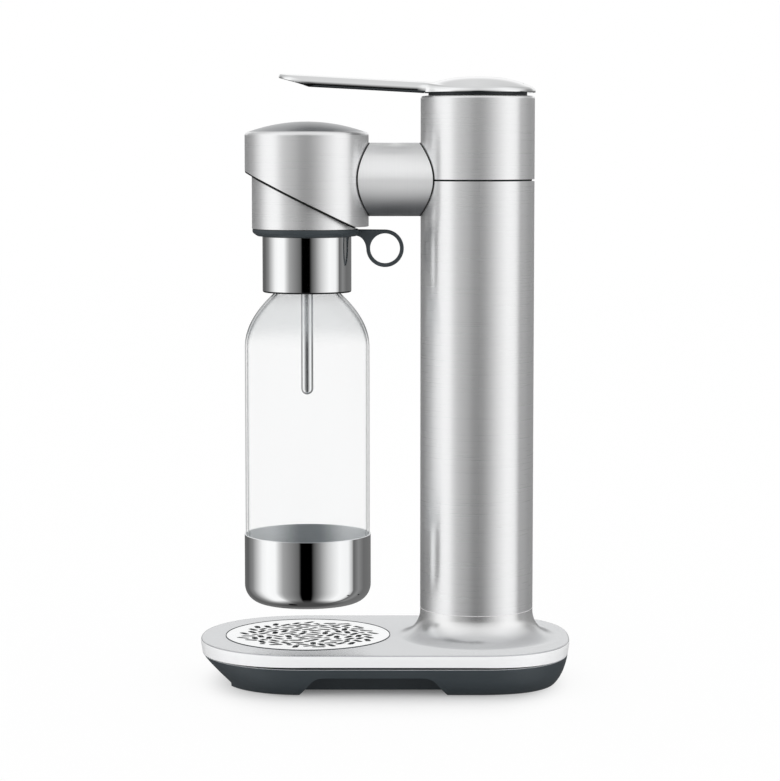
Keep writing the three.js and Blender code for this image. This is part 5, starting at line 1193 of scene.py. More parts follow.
@dataclass
class Tray:
    """The round grille with wandering slots and the drip cup under it."""

    finishes: Finishes
    rim: float = 6.2 * MM
    slots: int = 116
    slot_width: float = 3.9 * MM
    slot_length: float = 8.4 * MM
    bridge: float = 0.9 * MM
    # sizes of the dark ring round the grille: inner and outer offset from its edge, and its rise
    trim: tuple[float, float, float] = (0.1 * MM, 0.5 * MM, 0.35 * MM)
    slot_points: int = 12
    edge: float = 0.35 * MM
    turns: int = 12

    def slot(self, x: float, y: float, angle: float, length: float) -> list[Pair]:
        """Outline of one slot: a straight bar with round ends."""
        half, radius = (length - self.slot_width) / 2, self.slot_width / 2
        c, s = math.cos(angle), math.sin(angle)
        points = []
        for k in range(self.slot_points):
            turn = 2 * math.pi * (k + 0.5) / self.slot_points
            u = radius * math.cos(turn) + math.copysign(half, math.cos(turn))
            v = radius * math.sin(turn)
            points.append((x + u * c - v * s, y + u * s + v * c))
        return points

    def laid_slots(self) -> list[list[Pair]]:
        """Lays the slots on a sunflower spiral, each turned to where it has most room.

        Returns:
            The outlines of the slots.
        """
        radius = Extent.of("drip_grille").radius - self.rim - self.slot_length / 2
        placed: list[tuple[float, float, float, float]] = []
        outlines = []
        for i in range(self.slots):
            reach = radius * math.sqrt((i + 0.5) / self.slots)
            around = i * math.pi * (3 - math.sqrt(5))
            x, y = reach * math.cos(around), reach * math.sin(around)
            near = [p for p in placed if math.hypot(p[0] - x, p[1] - y) < 2 * self.slot_length]
            best = max(
                (
                    self.room(x, y, math.pi * k / self.turns + i * 1.7, near),
                    math.pi * k / self.turns + i * 1.7,
                )
                for k in range(self.turns)
            )
            length = min(self.slot_length * 1.15, max(self.slot_width * 1.2, 2 * best[0]))
            placed.append((x, y, best[1], length))
            outlines.append(self.slot(x, y, best[1], length))
        return outlines

    def room(self, x: float, y: float, angle: float, near: list[tuple[float, float, float, float]]) -> float:
        """How far a slot may reach from its middle in a direction before it meets another one."""
        wall = self.slot_width / 2 + self.bridge
        reach = self.slot_length * 0.7
        c, s = math.cos(angle), math.sin(angle)
        for other_x, other_y, other_angle, other_length in near:
            for k in range(-4, 5):
                along = (other_length - self.slot_width) / 2 * k / 4
                dx = other_x + along * math.cos(other_angle) - x
                dy = other_y + along * math.sin(other_angle) - y
                forward, aside = abs(dx * c + dy * s), abs(dy * c - dx * s)
                if aside < wall + self.slot_width / 2:
                    free = forward - math.sqrt(max((wall + self.slot_width / 2) ** 2 - aside**2, 0))
                    reach = min(reach, free + self.slot_width / 2)
        return reach

    def grille(self) -> bpy.types.Object:
        """The flat round grille."""
        box = Extent.of("drip_grille")
        outer = []
        for k in range(FINE):
            angle = 2 * math.pi * k / FINE
            x, y = box.radius * math.cos(angle), box.radius * math.sin(angle)
            outer.append(Vector((BOTTLE_X + x, y, box.low.z)))
        holes = [[Vector((BOTTLE_X + x, y, box.low.z)) for x, y in slot] for slot in self.laid_slots()]
        disc = plate("grille_disc", [outer, *holes], Vector((0, 0, box.high.z - box.low.z)), merge=False)
        return softened(disc, 0.22 * MM, angle=50.0, segments=2)

    def dark_gap_ring(self) -> bpy.types.Object:
        """A thin dark ring between the grille and the cover, standing a little above the grille."""
        radius, top = Extent.of("drip_grille").radius, Extent.of("drip_grille").high.z
        inner, outer, rise = self.trim
        loop = [
            Turn(radius + inner, top - MM), Turn(radius + outer, top - MM),
            Turn(radius + outer, top + rise, 0.15 * MM), Turn(radius + inner, top + rise, 0.15 * MM),
            Turn(radius + inner, top - MM),
        ]
        return softened(turned("grille_dark_gap_ring", (BOTTLE_X, 0), loop), 0)

    def cup(self) -> bpy.types.Object:
        """The shallow drip cup with an eased inner corner."""
        box = Extent.of("drip_cup")
        wall, floor, corner = 1.6 * MM, 2.0 * MM, 3.0 * MM
        profile = [
            Turn(0, box.low.z), Turn(box.radius, box.low.z, corner), Turn(box.radius, box.high.z, 0.4 * MM),
            Turn(box.radius - wall, box.high.z, 0.4 * MM), Turn(box.radius - wall, box.low.z + floor, corner),
            Turn(0, box.low.z + floor),
        ]
        return softened(turned("drip_cup_shell", (BOTTLE_X, 0), profile), 0)

    def build(self) -> None:
        """Models and dresses the tray."""
        grille = place_piece(
            self.grille(), self.finishes.grille, "tray_grille", "polished_steel", "drip_grille"
        )
        # painted shade: the slot walls take the dark charcoal finish so the slots read dark
        edge = Extent.of("drip_grille").radius - MM
        refinished(grille, self.finishes.charcoal, lambda middle, normal: abs(normal.z) < 0.35
                   and math.hypot(middle.x - BOTTLE_X, middle.y) < edge)
        cup = place_piece(self.cup(), self.finishes.charcoal, "tray_cup", "charcoal_plastic", "drip_cup")
        trim = place_piece(self.dark_gap_ring(), self.finishes.slate, "machine", "dark_plastic")
        out_of_mirrors(grille, cup, trim)


@dataclass
class Column:
    """The steel column: front shell, rear cover, head with its rounded edge, and the dark neck."""

    finishes: Finishes
    wall: float = 1.8 * MM
    split: float = 0.04 * MM
    edge: float = 0.08 * MM
    mouth: float = 30.0 * MM
    mouth_rounding: float = 2.2 * MM
    clearance: float = 0.3 * MM
    spigot: float = 29.7 * MM
    bore: float = 26.0 * MM
    bevel: float = 31.0 * MM
    bevel_rise: float = 1.6 * MM
    lug_y: float = 9.0 * MM
    lug_half: float = 1.8 * MM
    lug_reach: float = 3.0 * MM
    seam_extra: float = 0.3 * MM
    seam_ring_wall: float = 1.5 * MM
    seam_ring_half: float = 3.0 * MM

    def __post_init__(self) -> None:
        """Takes the column's own sizes from the frame."""
        self.lower = Extent.of("column_front_shell")
        self.head = Extent.of("column_head_shell")
        self.radius = self.head.radius

    def lower_shell(self, name: str, way: int) -> bpy.types.Object:
        """One half of the lower column.

        Args:
            name: Name of the piece.
            way: 1 for the half at the arm, -1 for the rear cover.

        Returns:
            The half shell.
        """
        inner = self.radius - self.wall
        low, high = self.lower.low.z, self.lower.high.z - self.seam_extra
        loop = [(inner, low), (self.radius, low), (self.radius, high), (inner, high), (inner, low)]
        return bisected(turned(name, (COLUMN_X, 0), loop), (COLUMN_X - way * self.split, 0, 0), (way, 0, 0))

    def arm_bore(self) -> bpy.types.Object:
        """A cutter for the core tube that passes from the arm into the column."""
        core = Extent.of("arm_core")
        middle = (core.low.z + core.high.z) / 2
        start = (COLUMN_X - 1.5 * self.radius, 0, middle)
        return bar("arm_bore", start, (COLUMN_X, 0, middle), core.radius + self.clearance)

    def head_shell(self) -> bpy.types.Object:
        """The upper column, closed above but for its mouth."""
        inner = self.radius - self.wall
        low, high = self.head.low.z + self.seam_extra, self.head.high.z
        loop = [
            Turn(inner, low), Turn(self.radius, low, 0.3 * MM), Turn(self.radius, high, self.mouth_rounding),
            Turn(self.mouth, high, 0.4 * MM), Turn(self.mouth, high - self.wall),
            Turn(inner, high - self.wall), Turn(inner, low),
        ]
        return turned("column_head_steel", (COLUMN_X, 0), loop)

    def seam_ring(self) -> bpy.types.Object:
        """A dark ring inside the column that closes the seam behind its gap."""
        outer = self.radius - self.wall - 0.05 * MM
        inner = outer - self.seam_ring_wall
        middle = (self.lower.high.z + self.head.low.z) / 2
        low, high = middle - self.seam_ring_half, middle + self.seam_ring_half
        loop = [(inner, low), (outer, low), (outer, high), (inner, high), (inner, low)]
        ring = combined(turned("column_seam_ring", (COLUMN_X, 0), loop), "DIFFERENCE", self.arm_bore())
        return softened(ring, 0.2 * MM, 50)

    def neck(self) -> bpy.types.Object:
        """The dark neck under the lever, with a slot for each of the lever's lugs."""
        box = Extent.of("top_insert")
        rim = self.head.high.z + self.clearance
        loop = [
            Turn(self.bore, box.low.z), Turn(self.spigot, box.low.z, 0.4 * MM), Turn(self.spigot, rim),
            Turn(box.radius, rim, 0.3 * MM), Turn(box.radius, box.high.z - self.bevel_rise, 0.4 * MM),
            Turn(self.bevel, box.high.z, 0.4 * MM), Turn(self.bore, box.high.z), Turn(self.bore, box.low.z),
        ]
        neck = turned("lever_neck", (COLUMN_X, 0), loop)
        pin_x = Extent.of("lever_pin").middle_x
        slots = [
            block("slot", (pin_x - self.lug_reach, side * self.lug_y - self.lug_half, box.low.z - MM),
                  (pin_x + self.lug_reach, side * self.lug_y + self.lug_half, box.high.z + MM))
            for side in (-1, 1)
        ]
        return softened(combined(neck, "DIFFERENCE", *slots), 0)

    def build(self) -> None:
        """Models and dresses the column."""
        steel = self.finishes.upright_steel
        front = combined(self.lower_shell("column_front_steel", 1), "DIFFERENCE", self.arm_bore())
        rear = softened(self.lower_shell("column_rear_steel", -1), self.edge, 50)
        head = softened(combined(self.head_shell(), "DIFFERENCE", self.arm_bore()), 0)
        out_of_mirrors(
            place_piece(
                softened(front, self.edge, 50), steel, "machine", "brushed_steel", "column_front_shell"
            ),
            place_piece(rear, steel, "rear_cover", "brushed_steel", "back_cover"),
            place_piece(head, steel, "machine", "brushed_steel", "column_head_shell"),
            place_piece(self.seam_ring(), self.finishes.rubber, "machine", "black_rubber"),
        )
        place_piece(self.neck(), self.finishes.charcoal, "machine", "charcoal_plastic", "top_insert")


def eased_max(first: float, second: float, blend: float) -> float:
    """The larger of two values with a soft change from one to the other."""
    return (first + second + math.hypot(first - second, blend)) / 2


def held(value: float, low: float, high: float) -> float:
    """Keeps a value between two others."""
    return max(low, min(high, value))


@dataclass
class Lever:
    """The press lever: a dome over the neck that runs out into a hollow handle with a pointed tip."""

    finishes: Finishes
    wall: float = 1.5 * MM
    rounding: float = 3.6 * MM
    rounding_share: float = 0.8
    grip_half: float = 15.0 * MM
    root_half: float = 19.0 * MM
    crown: float = 1.6 * MM
    dome_rise: float = 11.0 * MM
    dome_drop: float = 8.4 * MM
    dome_power: float = 2.6
    spine_fall: float = 0.12
    saddle_reach: float = 37.3 * MM
    saddle_rise: float = 7.5 * MM
    beak_length: float = 19.6 * MM
    beak_rise: float = 4.4 * MM
    beak_power: float = 0.8
    tip_rise: float = 13.2 * MM
    tip_edge_rise: float = 10.2 * MM
    width_blend: float = 6.0 * MM
    height_blend: float = 1.1 * MM
    rim_gap: float = 2.4 * MM
    reveal: float = 0.9 * MM
    insert_inset: float = 0.5 * MM
    insert_front: float = 3.0 * MM
    lug_y: float = 9.0 * MM
    lug_width: float = 3.0 * MM
    lug_radius: float = 2.7 * MM
    nose_steps: int = 14
    handle_steps: int = 46
    dome_steps: int = 26

    def __post_init__(self) -> None:
        """Takes the lever's own places from the frame."""
        head = Extent.of("column_head_shell")
        self.radius = Extent.of("lever").radius
        self.tip_x = Extent.of("lever").low.x
        self.saddle_x = COLUMN_X - self.saddle_reach
        self.beak_x = self.tip_x + self.beak_length
        self.rim_z = head.high.z + self.rim_gap
        self.insert = Extent.of("lever_grip_insert")

    def half_width(self, x: float) -> float:
        """Half of the lever's width at one place along it."""
        around = math.sqrt(max(self.radius**2 - (x - COLUMN_X) ** 2, 0))
        run = held((x - self.tip_x) / (self.saddle_x - self.tip_x), 0, 1)
        straight = self.grip_half + (self.root_half - self.grip_half) * run**2
        nose = held(1 - (x - self.tip_x) / self.grip_half, 0, 1)
        fade = held((COLUMN_X - x) / (COLUMN_X - self.saddle_x), 0, 1)
        grip = straight * math.sqrt(1 - nose**2) * fade
        return eased_max(around, grip, self.width_blend * min(fade, 1 - nose))

    def top(self, x: float, y: float) -> float:
        """Height of the lever's upper face."""
        reach = math.hypot(x - COLUMN_X, y) / self.radius
        dome = self.rim_z + self.dome_rise - self.dome_drop * reach**self.dome_power
        run = (x - self.tip_x) / (self.saddle_x - self.tip_x)
        spine = self.rim_z + self.tip_rise + (self.saddle_rise - self.tip_rise) * run
        spine -= max(x - self.saddle_x, 0) * self.spine_fall
        half = max(self.half_width(x), 0.5 * MM)
        return eased_max(dome, spine - self.crown * min(abs(y) / half, 1) ** 2, self.height_blend)

    def edge(self, x: float) -> float:
        """Height of the lever's lower edge."""
        if x >= self.saddle_x:
            return self.rim_z
        if x >= self.beak_x:
            return self.rim_z + self.beak_rise * (self.saddle_x - x) / (self.saddle_x - self.beak_x)
        run = held((self.beak_x - x) / self.beak_length, 0, 1) ** self.beak_power
        return self.rim_z + self.beak_rise + (self.tip_edge_rise - self.beak_rise) * run

    def lip(self, x: float) -> float:
        """Height of the steel's lower edge, which leaves the dark insert's edge in sight."""
        before = 1.0 if x < self.saddle_x else 0.0
        along = min(held((x - self.insert.low.x) / self.insert_front, 0, 1), before)
        return self.edge(x) + self.reveal * along

    def stations(self) -> list[float]:
        """Places along the lever, close together at the nose and at the back of the dome."""
        nose = [
            self.tip_x + self.grip_half * (1 - math.cos(math.pi / 2 * k / self.nose_steps))
            for k in range(self.nose_steps)
        ]
        start = self.tip_x + self.grip_half
        step = (self.saddle_x - start) / self.handle_steps
        handle = [start + step * k for k in range(self.handle_steps + 1)]
        step = 0.3 * MM
        shoulder = [
            self.saddle_x + step + (COLUMN_X - self.saddle_x - step) * k / self.dome_steps
            for k in range(self.dome_steps)
        ]
        back = [
            COLUMN_X + self.radius * math.sin(math.pi / 2 * k / self.dome_steps)
            for k in range(self.dome_steps + 1)
        ]
        return nose + handle + shoulder + back

    def roundness(self, x: float) -> float:
        """Radius of the rounding between top and side at one place along the lever."""
        side = self.top(x, self.half_width(x)) - self.lip(x)
        return min(self.rounding, self.rounding_share * max(side, 0.5 * MM))

    def skin_row(self, inset: float, share: float, height: Callable[[float, float], float]) -> list[Vector]:
        """One closed row of the skin.

        Args:
            inset: Distance inwards from the outline, as a share of the rounding there.
            share: 1 at the outline and 0 at the spine.
            height: Gives the height at a place.

        Returns:
            The row's points, down one side and back up the other.
        """
        stations = self.stations()
        row = []
        front, back = self.tip_x + 0.8 * self.grip_half, COLUMN_X + 0.5 * self.radius
        path = [(x, 1) for x in stations] + [(x, -1) for x in reversed(stations[1:-1])]
        for x, side in path:
            outer = Vector((x, side * self.half_width(x)))
            middle = Vector((held(x, front, back), 0))
            inwards = middle - outer
            point = outer + inwards.normalized() * min(inset * self.roundness(x), inwards.length)
            point = middle + (point - middle) * share
            row.append(Vector((point.x, point.y, height(point.x, point.y))))
        return row

    def skin(self) -> bpy.types.Object:
        """The pressed steel skin with its wall and the lugs for the pin."""
        rows = [self.skin_row(0, 1, lambda x, _y: self.lip(x))]
        for k in range(9):
            angle = math.pi / 2 * k / 8
            inset, drop = 1 - math.cos(angle), 1 - math.sin(angle)
            rows.append(self.skin_row(
                inset, 1,
                lambda x, y, drop=drop: max(
                    self.top(x, y) - drop * self.roundness(x), self.lip(x) + 0.2 * MM
                ),
            ))
        for share in (0.95, 0.88, 0.8, 0.7, 0.6, 0.5, 0.4, 0.3, 0.2, 0.1, 0.0):
            rows.append(self.skin_row(1.0, share, self.top))
        skin = softened(walled(swept("lever_steel", rows), self.wall), 0.25 * MM, angle=60)
        pin = Extent.of("lever_pin")
        pin_z = (pin.low.z + pin.high.z) / 2
        ceiling = self.top(pin.middle_x, self.lug_y) - self.wall / 2
        lugs = []
        for side in (-1, 1):
            line = [(-self.lug_radius, ceiling)]
            for k in range(13):
                angle = math.pi * (1 + k / 12)
                line.append((self.lug_radius * math.cos(angle), pin_z + self.lug_radius * math.sin(angle)))
            line.append((self.lug_radius, ceiling))
            near = side * self.lug_y - self.lug_width / 2
            outline = [Vector((pin.middle_x + x, near, z)) for x, z in line]
            lugs.append(softened(plate("lug", [outline], Vector((0, self.lug_width, 0))), 0.2 * MM))
        return joined(skin, *lugs)

    def grip(self) -> bpy.types.Object:
        """The dark insert that closes the handle from below."""
        steps = 40
        low_x, high_x = self.insert.low.x, self.saddle_x - 0.2 * MM
        stations = [low_x + (high_x - low_x) * k / steps for k in range(steps + 1)]
        rows = []
        hidden = self.wall + 0.2 * MM
        profile = ((hidden, 3.4), (hidden, 1.35), (self.insert_inset, 1.35), (self.insert_inset, 0.2),
                   (self.insert_inset + 0.2 * MM, 0.0))
        for inset, rise in profile:
            left = [Vector((x, self.half_width(x) - inset, self.edge(x) + rise * MM)) for x in stations]
            right = [Vector((p.x, -p.y, p.z)) for p in reversed(left)]
            rows.append(left + right)
        insert = swept("lever_grip", rows)
        edit(insert, "DESELECT")
        bpy.ops.mesh.select_mode(type="EDGE")
        bpy.ops.mesh.select_non_manifold()
        bpy.ops.mesh.fill(use_beauty=True)
        tidy_up(0.002 * MM)
        return softened(done(insert, "lever_grip"), 0)

    def build(self) -> None:
        """Models and dresses the lever."""
        place_piece(self.skin(), self.finishes.polished, "press_lever", "polished_steel", "lever")
        place_piece(
            self.grip(), self.finishes.charcoal, "press_lever", "charcoal_plastic", "lever_grip_insert"
        )


@dataclass
class Arm:
    """The brushed arm between column and hood, with a thin gasket at each end."""

    finishes: Finishes
    wall: float = 1.6 * MM
    gap: float = 0.2 * MM
    gasket: float = 0.6 * MM
    barrel_stand: float = 0.85 * MM
    gasket_bore: float = 22.0 * MM

    def __post_init__(self) -> None:
        """Takes the arm's own sizes from the frame."""
        barrel = Extent.of("arm_barrel")
        self.radius = barrel.radius
        self.axis_z = (barrel.low.z + barrel.high.z) / 2
        self.gasket_radius = self.radius + 0.15 * MM
        self.hood_radius = Extent.of("hood_shell").radius
        self.column_radius = Extent.of("column_head_shell").radius

    def saddle(self, centre_x: float, reach: float, radius: float) -> list[Vector]:
        """A ring round the arm's axis that lies on an upright cylinder.

        Args:
            centre_x: Axis of the upright cylinder.
            reach: Its radius, negative where the ring lies on its front side.
            radius: Radius of the ring.

        Returns:
            The ring's points.
        """
        points = []
        for k in range(FINE):
            angle = 2 * math.pi * k / FINE
            y = radius * math.sin(angle)
            x = centre_x + math.copysign(math.sqrt(reach * reach - y * y), reach)
            points.append(Vector((x, y, self.axis_z + radius * math.cos(angle))))
        return points

    def barrel(self) -> bpy.types.Object:
        """The arm's tube."""
        stand = self.barrel_stand
        left = self.saddle(BOTTLE_X, self.hood_radius + stand, self.radius)
        right = self.saddle(COLUMN_X, -(self.column_radius + stand), self.radius)
        steps = 8
        rings = [[a.lerp(b, k / steps) for a, b in zip(left, right)] for k in range(steps + 1)]
        return softened(walled(swept("arm_steel", rings), self.wall), 0.25 * MM, angle=50)

    def gasket_ring(self, name: str, centre_x: float, reach: float) -> bpy.types.Object:
        """One gasket on the hood or on the column."""
        way = math.copysign(1, reach)
        near, far = reach + way * self.gap, reach + way * (self.gap + self.gasket)
        corners = [(self.gasket_bore, near), (self.gasket_radius, near), (self.gasket_radius, far),
                   (self.gasket_bore, far), (self.gasket_bore, near)]
        ring = swept(name, [self.saddle(centre_x, at, radius) for radius, at in corners])
        return softened(ring, 0.25 * MM, angle=50, segments=3)

    def build(self) -> None:
        """Models and dresses the arm."""
        place_piece(self.barrel(), self.finishes.arm_steel, "machine", "brushed_steel", "arm_barrel")
        rubber = self.finishes.rubber
        left = self.gasket_ring("gasket_hood", BOTTLE_X, self.hood_radius)
        place_piece(left, rubber, "machine", "black_rubber", "arm_gasket_hood")
        right = self.gasket_ring("gasket_column", COLUMN_X, -self.column_radius)
        place_piece(right, rubber, "machine", "black_rubber", "arm_gasket_column")


@dataclass
class Dock:
    """The slanted plane where hood and cap meet."""

    slant: float = math.radians(26.4)
    drop: float = 16.4 * MM

    def __post_init__(self) -> None:
        """Places the plane under the arm's axis."""
        barrel = Extent.of("arm_barrel")
        self.point = Vector((BOTTLE_X, 0, (barrel.low.z + barrel.high.z) / 2 - self.drop))
        self.normal = Vector((math.sin(self.slant), 0, math.cos(self.slant)))

    def moved(self, distance: float) -> Vector:
        """A point of the plane moved along its normal."""
        return self.point + self.normal * distance


@dataclass
class Hood:
    """The brushed hood with its shallow domed top and slanted edge."""

    finishes: Finishes
    dock: Dock
    wall: float = 1.6 * MM
    dome_rise: float = 7.0 * MM
    rounding: float = 3.0 * MM
    lip_height: float = 0.8 * MM
    lip_inset: float = 0.2 * MM
    steps: int = 18

    def shell(self) -> bpy.types.Object:
        """The hood's skin with its wall."""
        box = Extent.of("hood_shell")
        flat = box.radius - self.rounding
        dome = (flat**2 + self.dome_rise**2) / (2 * self.dome_rise)
        shoulder = box.high.z - self.dome_rise
        profile = []
        for k in range(self.steps + 1):
            radius = flat * k / self.steps
            profile.append(Turn(radius, box.high.z - dome + math.sqrt(dome**2 - radius**2)))
        corner = arc((flat, shoulder - self.rounding), self.rounding, 90, 0, 8)
        skin = turned("hood_steel", (BOTTLE_X, 0), [*profile, *corner[1:], Turn(box.radius, box.low.z)])
        bisected(skin, self.dock.moved(self.lip_height), -self.dock.normal, fill=False)
        walled(skin, self.wall)
        core = Extent.of("arm_core")
        middle = (core.low.z + core.high.z) / 2
        bore = bar("bore", (BOTTLE_X, 0, middle), (BOTTLE_X + 1.5 * box.radius, 0, middle),
                   core.radius + 0.3 * MM)
        return softened(combined(skin, "DIFFERENCE", bore), 0.3 * MM, angle=50, smooth=26)

    def lip(self) -> bpy.types.Object:
        """A black ring along the hood's slanted edge: a painted shadow under the hood's edge."""
        box = Extent.of("hood_shell")
        outer, inner = box.radius - self.lip_inset, box.radius - self.wall - self.lip_inset
        top = self.dock.point.z + box.radius
        loop = [(inner, box.low.z), (outer, box.low.z), (outer, top), (inner, top), (inner, box.low.z)]
        lip = turned("hood_edge_painted_shadow", (BOTTLE_X, 0), loop)
        bisected(lip, self.dock.moved(self.lip_height - 0.02 * MM), self.dock.normal)
        bisected(lip, self.dock.point, -self.dock.normal)
        return softened(lip, 0.15 * MM, angle=50)

    def build(self) -> None:
        """Models and dresses the hood."""
        hood = place_piece(
            self.shell(), self.finishes.upright_steel, "machine", "brushed_steel", "hood_shell"
        )
        shoulder = Extent.of("hood_shell").high.z - self.dome_rise
        refinished(hood, self.finishes.dome_steel, lambda middle, normal: middle.z > shoulder - 0.2 * MM
                   and normal.z > 0.9)
        # painted shadow: a black ring under the hood's edge
        place_piece(self.lip(), self.finishes.rubber, "machine", "black_rubber")


@dataclass
class Cap:
    """The cap on the bottle: steel wedge, dark ring and core with the finger tab's slot, and the polished
    collar.
    """

    finishes: Finishes
    dock: Dock
    wall: float = 1.4 * MM
    shadow_gap: float = 0.9 * MM
    fit: float = 0.3 * MM
    ring_low_radius: float = 34.6 * MM
    ring_bend: float = 2.5 * MM
    socket_roof: float = 13.4 * MM
    hub: Pair = (6.5 * MM, 4.0 * MM)
    tab_half: float = 2.5 * MM
    fork_start: float = 10.0 * MM
    vent: Pair = (15.0 * MM, 1.5 * MM)
    vent_seat: float = 3.2 * MM
    mouth: float = 25.2 * MM
    collar_wall: float = 1.3 * MM
    collar_rounding: float = 1.6 * MM

    def __post_init__(self) -> None:
        """Takes the cap's own places from the frame."""
        self.shell_box = Extent.of("cap_shell")
        self.core_box = Extent.of("cap_core")
        self.collar_box = Extent.of("cap_collar")
        self.top_z = self.shell_box.low.z - self.fit
        self.ring_low = self.collar_box.high.z + self.fit
        self.plane = -self.shadow_gap * math.cos(self.dock.slant)

    def shell(self) -> bpy.types.Object:
        """The steel wedge between the dark ring and the hood."""
        radius = self.shell_box.radius
        low, high = self.shell_box.low.z, self.shell_box.high.z + 5 * MM
        loop = [(radius - self.wall, low), (radius, low), (radius, high), (radius - self.wall, high),
                (radius - self.wall, low)]
        shell = turned("cap_steel", (BOTTLE_X, 0), loop)
        bisected(shell, self.dock.moved(self.plane), self.dock.normal)
        return softened(shell, 0.3 * MM, angle=40)

    def core(self) -> bpy.types.Object:
        """The dark ring with the neck socket below it and the hub above."""
        box, ring_radius = self.core_box, self.core_box.radius
        ceiling = self.ring_low - self.socket_roof
        socket = Extent.of("bottle_seal").radius + 0.9 * MM
        outer = self.collar_box.radius - self.collar_wall - self.fit
        hub_radius, hub_rise = self.hub
        loop = [
            Turn(0, ceiling), Turn(socket, ceiling), Turn(socket, box.low.z, 0.5 * MM),
            Turn(outer, box.low.z, 0.5 * MM), Turn(outer, self.ring_low),
            Turn(self.ring_low_radius, self.ring_low, 0.8 * MM),
            Turn(ring_radius, self.ring_low + self.ring_bend, 1.8 * MM),
            Turn(ring_radius, self.top_z, 0.4 * MM), Turn(hub_radius, self.top_z),
            Turn(hub_radius, self.top_z + hub_rise), Turn(0, self.top_z + hub_rise),
        ]
        core = turned("cap_dark_ring", (BOTTLE_X, 0), loop, fineness=6)
        bisected(core, self.dock.moved(self.plane), self.dock.normal)
        wand = Extent.of("wand")
        vent_x, vent_radius = BOTTLE_X + self.vent[0], self.vent[1]
        far = self.top_z + 2 * MM
        bore = 4.35 * MM
        tools = [
            block("slot", (BOTTLE_X + self.fork_start, -self.tab_half - self.fit, self.ring_low),
                  (BOTTLE_X + ring_radius + 5 * MM, self.tab_half + self.fit, far)),
            bar("wand_bore", (BOTTLE_X, 0, ceiling - MM), (BOTTLE_X, 0, wand.high.z + self.fit), bore, 32),
            bar("vent", (vent_x, 0, ceiling - MM), (vent_x, 0, far), vent_radius, 24),
            bar("seat", (vent_x, 0, ceiling + 6.2 * MM), (vent_x, 0, far), self.vent_seat, 24),
        ]
        return softened(combined(core, "DIFFERENCE", *tools), 0.25 * MM, angle=50)

    def collar(self) -> bpy.types.Object:
        """The polished collar round the neck."""
        box = self.collar_box
        inner = box.radius - self.collar_wall
        loop = [
            Turn(self.mouth, box.low.z, 0.5 * MM), Turn(box.radius, box.low.z, self.collar_rounding),
            Turn(box.radius, box.high.z, 0.2 * MM), Turn(inner, box.high.z),
            Turn(inner, box.low.z + 2 * self.collar_wall),
            Turn(self.mouth, box.low.z + self.collar_wall, 0.5 * MM),
            Turn(self.mouth, box.low.z),
        ]
        return softened(turned("collar_polished", (BOTTLE_X, 0), loop, fineness=7), 0)

    def build(self) -> None:
        """Models and dresses the cap."""
        place_piece(self.shell(), self.finishes.upright_steel, "cap", "brushed_steel", "cap_shell")
        place_piece(self.core(), self.finishes.slate, "cap", "charcoal_plastic", "cap_core")
        collar = place_piece(self.collar(), self.finishes.polished, "cap", "polished_steel", "cap_collar")
        # painted shade: the collar's downward faces under its rounding take the black rubber finish
        bottom = self.collar_box.low.z + self.collar_rounding
        refinished(collar, self.finishes.rubber, lambda middle, normal: (
            normal.z < -0.15 and middle.z < bottom
        ))


@dataclass
class FingerTab:
    """The tab that lets the pressure out: a finger ring on a web with a forked arm."""

    finishes: Finishes
    half: float = 2.5 * MM
    hub: float = 2.2 * MM
    arm_height: float = 3.4 * MM
    ring: float = 13.2 * MM
    hole: float = 10.5 * MM
    web_bend: float = 14.5 * MM
    fork_gap: float = 3.4 * MM
    fork_end: float = 17.5 * MM
    rounding: float = 1.15 * MM

    def outline(self) -> list[Pair]:
        """The outer line of web, ring and arm, in X and Z."""
        box, pin = Extent.of("release_tab"), Extent.of("release_tab_pin")
        pin_x, pin_z = pin.middle_x, (pin.low.z + pin.high.z) / 2
        ring_x, ring_z = box.high.x - self.ring, box.low.z + self.ring
        low = pin_z - self.hub
        points = [(box.low.x, low), (box.low.x, low + self.arm_height),
                  (pin_x - 2.4 * MM, low + self.arm_height),
                  (pin_x - MM, pin_z + self.hub), (pin_x + 8 * MM, pin_z + self.hub)]
        for k in range(61):
            angle = math.radians(90 - 270 * k / 60)
            points.append((ring_x + self.ring * math.cos(angle), ring_z + self.ring * math.sin(angle)))
        start, bend, end = (ring_x - self.ring, ring_z), (ring_x - self.web_bend, low), (pin_x, low)
        for k in range(1, 15):
            t = k / 14
            points.append(tuple(
                a * (1 - t) ** 2 + b * 2 * t * (1 - t) + c * t * t for a, b, c in zip(start, bend, end)
            ))
        return points

    def tab(self) -> bpy.types.Object:
        """The moulded tab."""
        box, pin = Extent.of("release_tab"), Extent.of("release_tab_pin")
        ring_x, ring_z = box.high.x - self.ring, box.low.z + self.ring
        outer = [Vector((x, -self.half, z)) for x, z in self.outline()]
        inner = []
        for k in range(64):
            angle = 2 * math.pi * k / 64
            inner.append(Vector((ring_x + self.hole * math.cos(angle), -self.half,
                                 ring_z + self.hole * math.sin(angle))))
        tab = plate("finger_tab", [outer, inner], Vector((0, 2 * self.half, 0)))
        softened(tab, self.rounding, angle=40, segments=4)
        pin_x, pin_z = pin.middle_x, (pin.low.z + pin.high.z) / 2
        fork = block("fork", (box.low.x - MM, -self.fork_gap / 2, box.low.z),
                     (BOTTLE_X + self.fork_end, self.fork_gap / 2, box.high.z + MM))
        bore = bar("bore", (pin_x, -2 * self.half, pin_z), (pin_x, 2 * self.half, pin_z), 1.35 * MM, 20)
        return softened(combined(tab, "DIFFERENCE", fork, bore), 0)

    def build(self) -> None:
        """Models and dresses the tab."""
        place_piece(self.tab(), self.finishes.slate, "tab", "charcoal_plastic", "release_tab")


